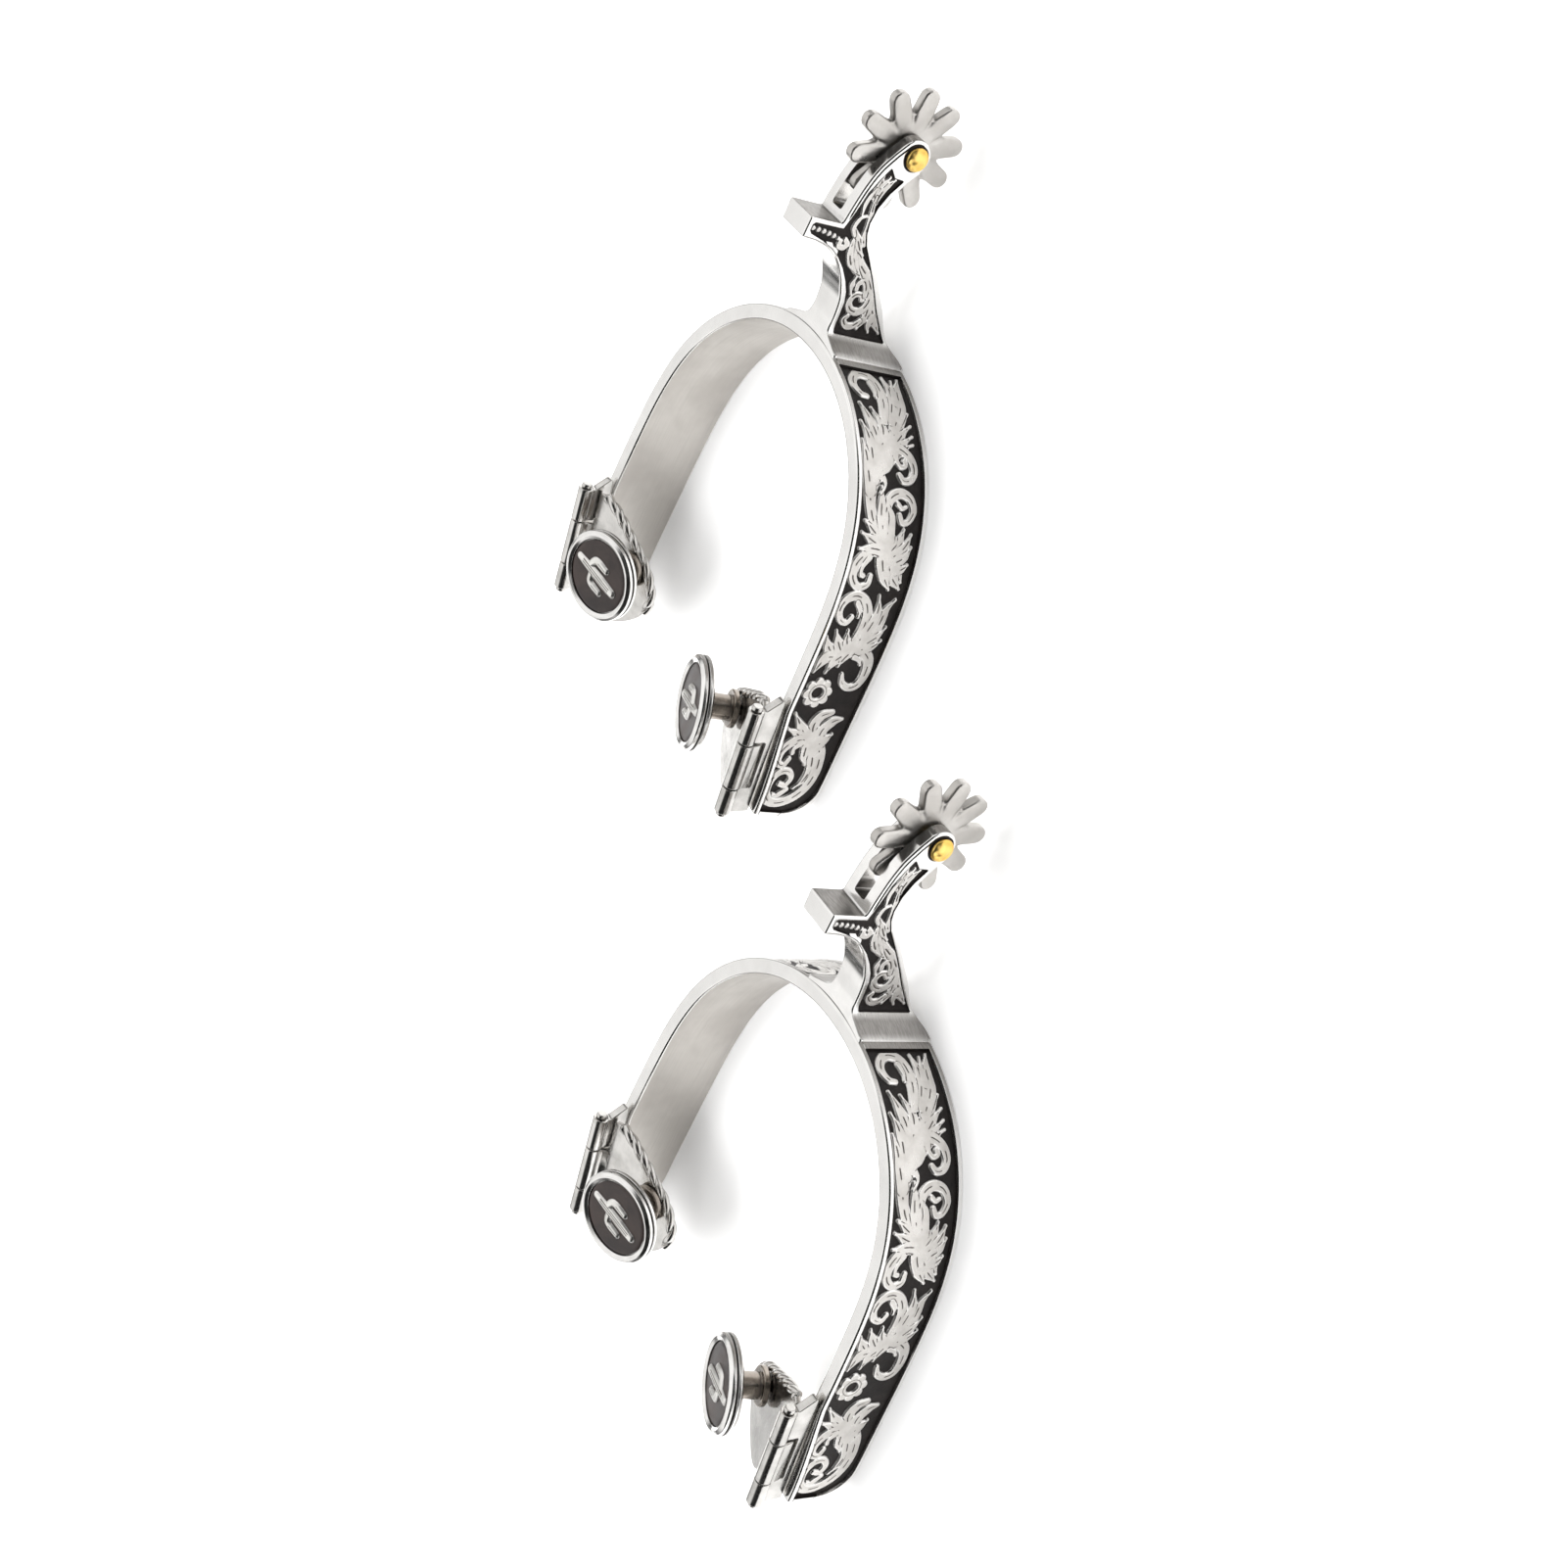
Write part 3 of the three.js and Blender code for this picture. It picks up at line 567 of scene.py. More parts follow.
def relief_sheet(top, back, depth, line, reach):
    """A closed body from a grid of top points and its flat back, each (rows, cols, 3).
    Keeps cells within reach of a stroke, in patches that rise out of the ground."""
    cells = quads(*depth.shape)
    depth, line = depth.ravel(), line.ravel()
    cells = cells[(depth[cells] > -reach).any(1)][:, ::-1]
    top, back = top.reshape(-1, 3), back.reshape(-1, 3)
    label = np.arange(len(top))
    while True:
        lowest = label[cells].min(1)
        merged = label.copy()
        for i in range(4):
            np.minimum.at(merged, cells[:, i], lowest)
        merged = merged[merged]
        if (merged == label).all():
            break
        label = merged
    peak = np.full(len(top), -9.0)
    np.maximum.at(peak, label, depth)
    cells = cells[peak[label[cells[:, 0]]] > 0.05]
    used = np.zeros(len(top), bool)
    used[cells.ravel()] = True
    cells = (np.cumsum(used) - 1)[cells]
    top, back, depth, line = top[used], back[used], depth[used], line[used]
    count = len(top)
    start, stop = cells.ravel(), np.roll(cells, -1, 1).ravel()
    rim = ~np.isin(start * count + stop, stop * count + start)
    start, stop = start[rim], stop[rim]
    wall = np.column_stack([stop, start, start + count, stop + count])
    geo = Geo()
    geo.add(np.vstack([top, back]), [cells, cells[:, ::-1] + count, wall],
            depth=np.concatenate([depth, np.full(count, -1.0)]),
            line=np.concatenate([line, np.full(count, -9.0)]))
    return geo


# ---------------------------------------------------------------- heel band scrollwork
BAND_GRID = 12.1  # drawing steps per module; x runs along the limb, y down from the top


def band_at(x, y):
    return (x / BAND_GRID - 0.14) * MODULE, (18.0 - y / BAND_GRID) * MODULE


# stroke tables: centre points, then radii in modules spread evenly along the stroke
BAND_SPRAYS = [
    # first spray: opening scroll, bell leaf and long feathered leaf
    ([(288, 166), (281, 142), (252, 127), (218, 138), (200, 170), (214, 206), (252, 222),
      (306, 222), (372, 206)], [0.45, 0.62, 0.74, 0.85, 0.9, 0.95, 0.95, 0.85, 0.7]),
    ([(232, 196), (262, 203), (286, 200)], [0.5, 0.42, 0.15], NO_VEIN),
    ([(366, 232), (300, 256), (246, 264), (198, 254)], [0.9, 1.0, 0.8, 0.1]),
    ([(392, 240), (318, 284), (256, 292), (192, 316)], [0.9, 1.1, 0.95, 0.1]),
    ([(206, 286), (250, 276), (300, 272)], [0.15, 0.5, 0.6], NO_VEIN),
    ([(470, 190), (420, 232), (352, 290), (330, 308)], [1.3, 1.3, 0.7, 0.1]),
    ([(478, 196), (440, 240), (396, 280), (372, 309)], [1.2, 1.1, 0.6, 0.1]),
    ([(488, 200), (455, 245), (428, 280), (408, 308)], [1.1, 1.0, 0.55, 0.1]),
    ([(494, 204), (468, 250), (446, 285), (436, 306)], [1.0, 0.8, 0.45, 0.1]),
    ([(470, 180), (400, 196), (352, 178), (330, 168)], [1.3, 1.1, 0.7, 0.1]),
    ([(520, 160), (440, 168), (372, 150), (318, 128)], [1.5, 1.3, 0.9, 0.1]),
    ([(560, 140), (490, 142), (430, 134), (384, 116)], [1.4, 1.2, 0.8, 0.1]),
    ([(600, 132), (548, 124), (500, 120), (446, 110)], [1.1, 1.0, 0.7, 0.15]),
    ([(430, 214), (480, 196), (530, 160), (600, 134), (672, 144), (724, 178), (752, 204)],
     [1.5, 1.7, 1.5, 1.2, 0.95, 0.9, 0.8]),
    ([(548, 168), (566, 186), (588, 186), (606, 172)], [0.8, 0.5, 0.3, 0.1], NO_VEIN),
    ([(452, 222), (462, 262), (486, 290), (522, 300), (550, 286), (556, 260), (540, 244)],
     [0.9, 0.9, 0.85, 0.8, 0.7, 0.6, 0.5]),
    ([(474, 232), (500, 236), (514, 252), (508, 268), (496, 264)],
     [0.6, 0.5, 0.42, 0.4, 0.5], NO_VEIN),
    ([(500, 214), (528, 196), (548, 176)], [0.7, 0.6, 0.15], NO_VEIN),
    # second spray
    ([(742, 236), (712, 208), (664, 196), (618, 210), (596, 246), (606, 284), (642, 301),
      (676, 286), (682, 262), (662, 250)],
     [0.9, 1.0, 0.95, 0.9, 0.85, 0.8, 0.72, 0.62, 0.52, 0.5]),
    ([(628, 240), (640, 258), (634, 272)], [0.45, 0.4, 0.35], NO_VEIN),
    ([(640, 204), (668, 222), (704, 226), (740, 232)], [0.3, 0.6, 0.7, 0.6], NO_VEIN),
    ([(584, 176), (620, 178), (668, 180), (720, 196)], [0.15, 0.7, 0.9, 0.8]),
    ([(754, 210), (726, 168), (692, 124)], [1.0, 0.85, 0.1]),
    ([(766, 206), (750, 164), (728, 118)], [1.0, 0.85, 0.1]),
    ([(774, 206), (772, 164), (778, 120)], [0.9, 0.75, 0.1]),
    ([(772, 210), (784, 160), (822, 124), (866, 122), (893, 150), (884, 182), (856, 186)],
     [1.0, 0.9, 0.85, 0.8, 0.72, 0.6, 0.5]),
    ([(800, 166), (830, 148), (852, 148), (858, 160)], [0.55, 0.45, 0.4, 0.42], NO_VEIN),
    ([(776, 236), (738, 262), (702, 274)], [1.0, 0.85, 0.1]),
    ([(792, 248), (758, 284), (714, 304)], [1.0, 0.85, 0.1]),
    ([(806, 262), (786, 292), (752, 312)], [0.9, 0.75, 0.1]),
    ([(828, 272), (822, 294), (806, 312)], [0.8, 0.65, 0.1]),
    ([(756, 214), (802, 214), (852, 236), (890, 268)], [1.2, 1.2, 0.95, 0.15]),
    ([(762, 226), (808, 238), (852, 268), (884, 306)], [1.4, 1.4, 1.1, 0.15]),
    ([(744, 206), (782, 244), (822, 276), (862, 304)], [1.5, 1.5, 1.1, 0.2]),
    # third spray
    ([(1084, 214), (1030, 226), (976, 222), (938, 200), (922, 164), (936, 130), (970, 116),
      (1002, 130), (1012, 156), (992, 170)],
     [0.9, 1.0, 0.95, 0.9, 0.85, 0.8, 0.75, 0.65, 0.55, 0.5]),
    ([(944, 172), (966, 190), (990, 194)], [0.5, 0.45, 0.15], NO_VEIN),
    ([(1072, 228), (1016, 250), (962, 256), (912, 244)], [0.95, 0.95, 0.75, 0.1]),
    ([(1076, 236), (1014, 276), (956, 284), (918, 308)], [1.05, 1.05, 0.85, 0.1]),
    ([(1086, 244), (1050, 286), (1010, 310)], [1.0, 0.8, 0.1]),
    ([(1096, 248), (1080, 288), (1056, 312)], [0.9, 0.7, 0.1]),
    ([(1100, 206), (1068, 186), (1036, 178)], [0.9, 0.7, 0.1]),
    ([(1110, 184), (1076, 156), (1042, 136)], [1.0, 0.8, 0.1]),
    ([(1124, 160), (1098, 130), (1066, 110)], [1.1, 0.85, 0.15]),
    ([(1128, 172), (1138, 136), (1188, 116)], [1.1, 0.95, 0.15]),
    ([(1066, 246), (1096, 206), (1116, 166), (1128, 138)], [1.5, 1.6, 1.4, 1.0]),
    ([(1120, 196), (1148, 172), (1186, 160)], [1.0, 0.8, 0.1]),
    ([(1112, 216), (1136, 202), (1160, 196)], [0.8, 0.6, 0.1]),
    ([(1098, 226), (1102, 266), (1126, 296), (1172, 306), (1214, 296), (1228, 268),
      (1214, 238), (1186, 224)], [1.0, 0.95, 0.95, 0.9, 0.8, 0.7, 0.6, 0.4]),
    ([(1122, 240), (1130, 262), (1146, 274)], [0.5, 0.42, 0.15], NO_VEIN),
]
# fourth spray and closing scroll
BAND_CLOSING = [
    ([(1432, 222), (1398, 178), (1338, 122)], [1.2, 0.95, 0.1]),
    ([(1434, 206), (1408, 160), (1392, 116)], [1.0, 0.75, 0.1]),
    ([(1424, 232), (1378, 206), (1338, 218), (1320, 254)], [1.3, 1.0, 0.95, 0.5]),
    ([(1430, 246), (1386, 246), (1352, 272), (1340, 302)], [1.3, 1.1, 0.95, 0.3]),
    ([(1440, 256), (1414, 276), (1398, 290)], [1.1, 0.8, 0.1]),
    ([(1424, 208), (1436, 160), (1474, 132), (1514, 136), (1524, 160), (1500, 172)],
     [1.0, 0.9, 0.85, 0.75, 0.6, 0.5]),
    ([(1440, 190), (1464, 172), (1478, 176)], [0.6, 0.45, 0.4], NO_VEIN),
    ([(1410, 214), (1450, 230), (1492, 258), (1540, 268), (1580, 258), (1606, 238)],
     [1.4, 1.4, 1.1, 0.85, 0.6, 0.1]),
    ([(1448, 214), (1486, 222), (1516, 240)], [0.9, 0.7, 0.1]),
    ([(1432, 240), (1470, 276), (1530, 292), (1588, 286), (1636, 258), (1664, 214),
      (1662, 172), (1632, 146), (1586, 142), (1552, 160), (1544, 192), (1568, 212),
      (1596, 202), (1594, 182)],
     [1.2, 1.1, 0.95, 0.95, 0.95, 0.95, 0.9, 0.85, 0.8, 0.75, 0.7, 0.62, 0.55, 0.5]),
    ([(1612, 216), (1636, 190), (1634, 172)], [0.45, 0.6, 0.2], NO_VEIN),
]
FLOWER = (1258, 165)


def band_ornament():
    art = Ornament(band_at, fuller=1.78, blunt=0.5)
    for entry in BAND_SPRAYS:
        art.stroke(*entry)
    for k in range(8):
        angle = k * math.pi / 4 + 0.2
        petal = [(FLOWER[0] + reach * math.cos(angle), FLOWER[1] + reach * math.sin(angle))
                 for reach in (26, 37)]
        art.stroke(petal, [0.75, 0.78], vein=False, outlined=False)
    for entry in BAND_CLOSING:
        art.stroke(*entry)
    return art


def scroll_for_band(art, side):
    """Scrollwork in the panel of one limb; side is the sign of x."""
    spacing = 0.15 * COARSEN
    arc = np.arange(12.9, 119.0, spacing)
    rows = int(17.8 / spacing)
    low, high = (panel_low(arc) + 0.12)[:, None], (panel_top(arc) - 0.12)[:, None]
    z = low + (high - low) * np.linspace(0, 1, rows)
    arc_grid = np.repeat(arc[:, None], rows, 1)
    outer_grid = np.repeat(outer_arc(arc)[:, None], rows, 1)
    depth, line, lift = art.fields(outer_grid, z)
    # flower centre: an open eye with a ring round it
    flower = band_at(*FLOWER)
    away = np.hypot(outer_grid - flower[0], z - flower[1])
    depth = np.minimum(depth, away - 1.6 * MODULE)
    ring = 0.05 - np.abs(away - 2.5 * MODULE)
    on_petals = (away < 4.6 * MODULE) & (depth > 0.1)
    line = np.where(on_petals, np.maximum(line, ring), line)
    depth = np.minimum(depth, np.minimum(z - low, high - z) - 0.16)
    depth = np.minimum(depth, arc[:, None] - 12.9)
    height = relief(depth, line, rise=0.5) + 0.25 * lift * (depth > 0.1)
    top = np.stack([*on_band(arc_grid * side, BAND_THICK - PANEL_RECESS + height), z], -1)
    back = np.stack([*on_band(arc_grid * side, BAND_THICK - 1.05), z], -1)
    geo = relief_sheet(top, back, depth, line, reach=0.16)
    if side > 0:
        geo.faces = [group[:, ::-1] for group in geo.faces]
    return geo


# ---------------------------------------------------------------- shank
# side view tables: (distance behind the heel = -y, z)
SIDE_TOP = [
    [2.2, 10.05], [5.1, 9.7], [8.6, 9.3], [13.0, 9.75], [15.7, 10.8], [17.5, 11.7], [19.6, 13.1],
    [22.0, 15.2], [23.7, 17.5], [24.6, 19.8], [25.2, 22.5],
]
GUARD_TOP = [[25.4, 26.4], [30.4, 26.4]]
SIDE_REAR = [[30.4, 18.1], [35.3, 17.4], [39.8, 16.5], [44.3, 15.0], [48.4, 12.6]]
SIDE_LOW = [
    [45.3, 4.4], [42.8, 6.3], [40.2, 7.8], [37.5, 9.1], [33.9, 9.9], [30.8, 9.8], [28.1, 8.8],
    [25.3, 6.7], [21.9, 3.8], [17.4, 0.5], [12.9, -2.9], [8.6, -5.6], [5.2, -8.2], [3.8, -9.6],
    [2.2, -10.0],
]
SIDE_PANEL = [
    [5.7, -6.7], [5.7, 7.9], [9, 7.9], [13, 8.2], [15.4, 9.0], [17.9, 10.5], [20.5, 12.6],
    [22.8, 15.1], [24.4, 17.9], [25.6, 20.8], [26.6, 24.6], [27.3, 25.2], [28.7, 25.2],
    [29.3, 24.6], [29.4, 17.2], [33.9, 16.1], [38.4, 15.2], [42.0, 13.7], [45.1, 12.1],
    [43.1, 10.2], [43.0, 7.5], [39.3, 9.7], [35.7, 11.0], [32.1, 11.3], [29.5, 10.7],
    [26.8, 9.3], [23.2, 6.4], [19.6, 3.6], [16.1, 1.1], [12.5, -1.3], [8.9, -4.1],
]
# plan view: (half width, distance behind the heel)
PLAN_HALF = [
    [11.6, 3.1], [9.8, 3.7], [7.6, 4.5], [5.9, 5.2], [4.9, 6.1], [4.55, 7.7], [4.5, 11],
    [4.6, 18], [4.85, 25], [5.0, 30], [5.1, 35], [5.1, 55],
]
PLAN_LINE = smooth_line(PLAN_HALF, 400)
SHANK_ROLL = 0.5
SHANK_RECESS = 0.5


def half_width(behind):
    return np.interp(behind, PLAN_LINE[:, 1], PLAN_LINE[:, 0])


def on_shank(half, side_points):
    return np.column_stack([half, -side_points[:, 0], side_points[:, 1]])


def shank_outline():
    # round end about the pin
    end = []
    for i in range(15):
        angle = math.radians(60 - i * 205 / 14)
        end.append([-PIN_Y + 4.1 * math.cos(angle), PIN_Z + 0.3 + 4.1 * math.sin(angle)])
    rear = smooth_line(SIDE_REAR, 34)
    foot = [[30.4, 19.2], [30.45, 18.1], rear[3]]
    foot = rounded(foot, 0.7, closed=False, seg=3, hold=0)[1:-1]
    rear = np.vstack([GUARD_TOP[1], [30.4, 19.2], foot, rear[3:]])
    points = np.vstack([smooth_line(SIDE_TOP, 60), GUARD_TOP[:1], rear, end[1:-1],
                        smooth_line(SIDE_LOW, 90)])
    radii = [0.5 if any(np.allclose(p, q) for q in GUARD_TOP) else 0.0 for p in points]
    points = rounded(points, radii, hold=0)
    points[:, 0] = np.maximum(points[:, 0], 2.2)
    return ccw(resample(points, 0.5))


def shank_body():
    roll = SHANK_ROLL
    outline = shank_outline()
    inward = inset_dir(outline)
    rings = [(outline + inward * roll * (1 - math.cos(a)), roll * (1 - math.sin(a)))
             for a in np.linspace(0, math.pi / 2, 4)]
    rings.append((outline + inward * (roll + 0.12), 0.0))
    panel = ccw(resample(rounded(SIDE_PANEL, 0.35, seg=3, hold=0), 0.35))
    panel_in = inset_dir(panel)
    rings += [(panel - panel_in * 0.12, 0.0), (panel, 0.06),
              (panel + panel_in * 0.1, SHANK_RECESS)]
    columns = np.concatenate([np.arange(2.3, 8, 0.35), np.arange(8, 52, 0.8)])
    grid = np.column_stack([v.ravel() for v in np.meshgrid(columns, np.arange(-10, 27, 0.8))])
    grid = grid[inside(grid, outline)]
    grid = grid[(dist_to(grid, outline) > roll + 0.35) & (dist_to(grid, panel) > 0.35)]
    loose = (grid, np.where(inside(grid, panel), SHANK_RECESS, 0.0))
    flat, tris, drops = fill(rings, loose, outline)
    on_floor = inside(flat[tris].mean(1), panel) & (drops[tris].min(1) > 0.03)
    geo = Geo()
    half = half_width(flat[:, 0]) - drops
    mats = np.where(on_floor, 1, 0)
    geo.add(on_shank(half, flat), tris[:, ::-1], mats)
    geo.add(on_shank(-half, flat), tris, mats)
    # wall between the two sides
    edge = half_width(outline[:, 0]) - roll
    flank = edge - 0.12
    columns = [edge, flank] + [flank * k for k in (0.6, 0.2, -0.2, -0.6)] + [-flank, -edge]
    verts = np.vstack([on_shank(column, outline) for column in columns])
    geo.add(verts, quads(len(columns), len(outline), wrap=True))
    return geo.outward()


SHANK_GRID = 16  # drawing steps per module; x runs backward, y down
SHANK_STROKES = [
    ([(600, 590), (548, 628), (500, 668), (462, 704)], [0.8, 0.95, 0.8, 0.15]),
    ([(600, 588), (548, 604), (506, 606), (462, 592)], [0.8, 0.85, 0.7, 0.12]),
    ([(520, 640), (482, 640), (458, 652)], [0.7, 0.55, 0.1], NO_VEIN),
    ([(494, 590), (470, 566), (466, 536), (486, 514), (506, 524)],
     [0.55, 0.6, 0.6, 0.55, 0.45]),
    ([(610, 588), (562, 586), (532, 560), (536, 522), (566, 502), (598, 514), (604, 542),
      (584, 556)], [0.7, 0.75, 0.75, 0.7, 0.65, 0.55, 0.5, 0.45]),
    ([(604, 560), (640, 548), (662, 528), (648, 506), (624, 508)],
     [0.45, 0.55, 0.55, 0.5, 0.42]),
    ([(600, 490), (640, 478), (676, 482)], [0.15, 0.5, 0.15], NO_VEIN),
    ([(566, 612), (620, 588), (676, 538), (724, 476), (772, 424), (820, 396)],
     [0.95, 1.0, 0.95, 0.85, 0.75, 0.5]),
    ([(676, 500), (706, 458), (752, 424), (800, 398)], [0.2, 0.7, 0.7, 0.5]),
    ([(690, 468), (724, 424), (766, 400), (816, 388)], [0.2, 0.6, 0.6, 0.4]),
    ([(764, 462), (790, 432), (826, 404), (862, 372)], [0.15, 0.55, 0.65, 0.3]),
    ([(806, 446), (836, 428), (884, 424), (930, 414), (976, 404), (1010, 402)],
     [0.35, 0.5, 0.55, 0.5, 0.4, 0.2]),
    ([(836, 384), (868, 364), (908, 372), (924, 396)], [0.3, 0.42, 0.42, 0.2], NO_VEIN),
    ([(930, 372), (968, 366), (1004, 372), (1040, 384)], [0.2, 0.42, 0.42, 0.2], NO_VEIN),
    ([(984, 410), (1016, 386), (1052, 392), (1094, 392)], [0.4, 0.6, 0.62, 0.15]),
    ([(990, 408), (1028, 414), (1062, 428), (1092, 452)], [0.4, 0.55, 0.55, 0.15]),
    ([(1056, 400), (1078, 414), (1096, 424)], [0.4, 0.4, 0.1], NO_VEIN),
]
# beads down the guard column (x, y, size), and the small curl under them
GUARD_BEADS = [(826, 186, 0.62), (825, 212, 0.66), (823, 239, 0.66), (820, 266, 0.66),
               (815, 293, 0.62), (810, 317, 0.5)]
GUARD_CURL = ([(812, 352), (796, 366), (778, 356), (782, 334), (802, 332)],
              [0.4, 0.5, 0.52, 0.5, 0.4], NO_VEIN)


def shank_at(x, y):
    return ((x - 320) / SHANK_GRID - 0.45) * MODULE, ((640 - y) / SHANK_GRID - 0.9) * MODULE


def shank_ornament():
    art = Ornament(shank_at, fuller=1.7, blunt=0.45)
    for entry in SHANK_STROKES:
        art.stroke(*entry)
    for x, y, size in GUARD_BEADS:
        art.stroke([(x, y), (x + 1, y + 1)], [size * 0.62] * 2, vein=False, outlined=False)
    art.stroke(*GUARD_CURL)
    return art


def add_dark_piece(geo, verts, faces):
    """Adds a dark piece (the engraved fork line, and the painted shadow round the pin); its
    attributes mark it as all engraved line.
    """
    count = len(verts)
    geo.add(verts, faces, 1, depth=np.full(count, -1.0), line=np.full(count, 1.0))


def add_fork_line(geo):
    """Thin dark line along the upper edge of the fork, round to the pin."""
    outline = shank_outline()
    inward = inset_dir(outline)
    behind, z = outline[:, 0], outline[:, 1]
    upper = (behind > 31.6) & (z > 11.5) & (z < 18.3)
    index = np.nonzero(upper | (behind > 49.5) & (z > 5.2))[0]
    gaps = np.nonzero(np.diff(index) > 1)[0]
    if len(gaps):
        index = np.concatenate([index[gaps[-1] + 1 :], index[: gaps[-1] + 1]])
    count = len(index)
    base = outline[index] + inward[index] * 0.98
    k = np.arange(count)
    width = 0.27 * np.minimum(1, np.minimum(k, k[::-1]) / 4 + 0.05)
    across = inward[index] * width[:, None]
    rows = []
    for offset, proud in ((-1, -0.02), (-0.8, 0.02), (0.8, 0.02), (1, -0.02)):
        row = base + across * offset
        rows.append(on_shank(half_width(row[:, 0]) + proud, row))
    j = np.arange(count - 1)
    under = np.column_stack([3 * count + j, 3 * count + j + 1, j + 1, j])
    ends = np.array([[0, count, 2 * count, 3 * count],
                     [4 * count - 1, 3 * count - 1, 2 * count - 1, count - 1]])
    add_dark_piece(geo, np.vstack(rows), [quads(4, count), under, ends])


def add_pin_shadow_ring(geo):
    """Painted shadow: a dark ring round the pin head, standing in for the shade in its countersink.
    """
    # painted shadow of the countersink round the pin head
    rings = [np.column_stack([np.full(48, 5.1 + proud), circle((PIN_Y, PIN_Z), radius, 48)])
             for radius, proud in ((2.0, 0.02), (2.6, 0.025), (3.12, 0.02), (3.2, -0.03))]
    j = np.arange(48)
    k = (j + 1) % 48
    under = np.column_stack([144 + j, 144 + k, k, j])
    add_dark_piece(geo, np.vstack(rings), [quads(4, 48, wrap=True), under])


def scroll_for_shank():
    """Scrollwork, fork line and painted shadow ring round the pin, on the +X side."""
    spacing = 0.13 * COARSEN
    behind, z = np.meshgrid(np.arange(5.2, 46, spacing), np.arange(-7.5, 25.6, spacing),
                            indexing="ij")
    depth, line, _ = shank_ornament().fields(behind, z)
    panel = ccw(np.array(SIDE_PANEL))
    near = depth > -0.4
    points = np.column_stack([behind[near], z[near]])
    limit = np.full(depth.shape, -9.0)
    limit[near] = dist_to(points, panel) * np.where(inside(points, panel), 1, -1) - 0.14
    depth = np.minimum(depth, limit)
    height = relief(depth, line, rise=0.38, round_over=0.26)
    top = np.stack([half_width(behind) - SHANK_RECESS + height, -behind, z], -1)
    back = np.stack([half_width(behind) - 0.85, -behind, z], -1)
    geo = relief_sheet(top, back, depth, line, reach=0.16)
    add_fork_line(geo)
    add_pin_shadow_ring(geo)
    return geo


# ---------------------------------------------------------------- rowel and pin
ROWEL_POINTS = 10
ROWEL_RADIUS = 14.2
ROWEL_VALLEY = 8.5
ROWEL_TIP = 2.15  # radius of the round tips
ROWEL_HALF_ROOT = 2.3
ROWEL_HALF_THICK = 1.42


def rowel_outline(phase):
    points = []
    pitch = 2 * math.pi / ROWEL_POINTS
    tip = ROWEL_RADIUS - ROWEL_TIP
    for i in range(ROWEL_POINTS):
        angle = phase + 2 * math.pi * i / ROWEL_POINTS
        cos, sin = math.cos(angle), math.sin(angle)
        spoke = [(ROWEL_VALLEY + 0.9, -ROWEL_HALF_ROOT), (tip, -ROWEL_TIP)]
        for k in range(1, 8):
            turn = -math.pi / 2 + k * math.pi / 8
            flatten = 1.0 if abs(k - 4) > 1 else 0.985
            spoke.append((tip + ROWEL_TIP * math.cos(turn) * flatten, ROWEL_TIP * math.sin(turn)))
        spoke += [(tip, ROWEL_TIP), (ROWEL_VALLEY + 0.9, ROWEL_HALF_ROOT)]
        points += [[PIN_Y + along * cos - across * sin, PIN_Z + along * sin + across * cos]
                   for along, across in spoke]
        middle = angle + pitch / 2
        points.append([PIN_Y + ROWEL_VALLEY * math.cos(middle),
                       PIN_Z + ROWEL_VALLEY * math.sin(middle)])
    return ccw(resample(rounded(points, 0.45, seg=2, hold=0), 0.4))


def rowel_polar(points, phase):
    """Radius, and angle from the nearest point of the star in pitches."""
    away = points - [PIN_Y, PIN_Z]
    turn = np.arctan2(away[:, 1], away[:, 0]) - phase
    turn = turn / (2 * math.pi / ROWEL_POINTS)
    return np.hypot(away[:, 0], away[:, 1]), turn - np.round(turn)


def rowel_fill_points(outline, phase, roll):
    """A square grid, with finer rows along the groove between each pair of points."""
    pitch = 2 * math.pi / ROWEL_POINTS
    ticks = np.arange(-14.4, 14.4, 0.33)
    grid = np.column_stack([v.ravel() for v in np.meshgrid(ticks, ticks)]) + [PIN_Y, PIN_Z]
    grid = grid[inside(grid, outline)]
    clear = np.hypot(*(grid - [PIN_Y, PIN_Z]).T) > 2.3
    grid = grid[(dist_to(grid, outline) > roll + 0.15) & clear]
    radius, turn = rowel_polar(grid, phase)
    near_groove = radius * np.sin((0.5 - np.abs(turn)) * pitch) < 1.15
    grid = grid[~(near_groove & (radius > 4.7) & (radius < 9.0))]
    rows = []
    for i in range(ROWEL_POINTS):
        middle = phase + 2 * math.pi * (i + 0.5) / ROWEL_POINTS
        cos, sin = math.cos(middle), math.sin(middle)
        for along in np.arange(4.9, 8.3, 0.24):
            for across in (-0.9, -0.6, -0.3, 0.0, 0.3, 0.6, 0.9):
                rows.append([PIN_Y + along * cos - across * sin,
                             PIN_Z + along * sin + across * cos])
    rows = np.array(rows)
    rows = rows[inside(rows, outline)]
    return np.vstack([grid, rows[dist_to(rows, outline) > roll + 0.1]])


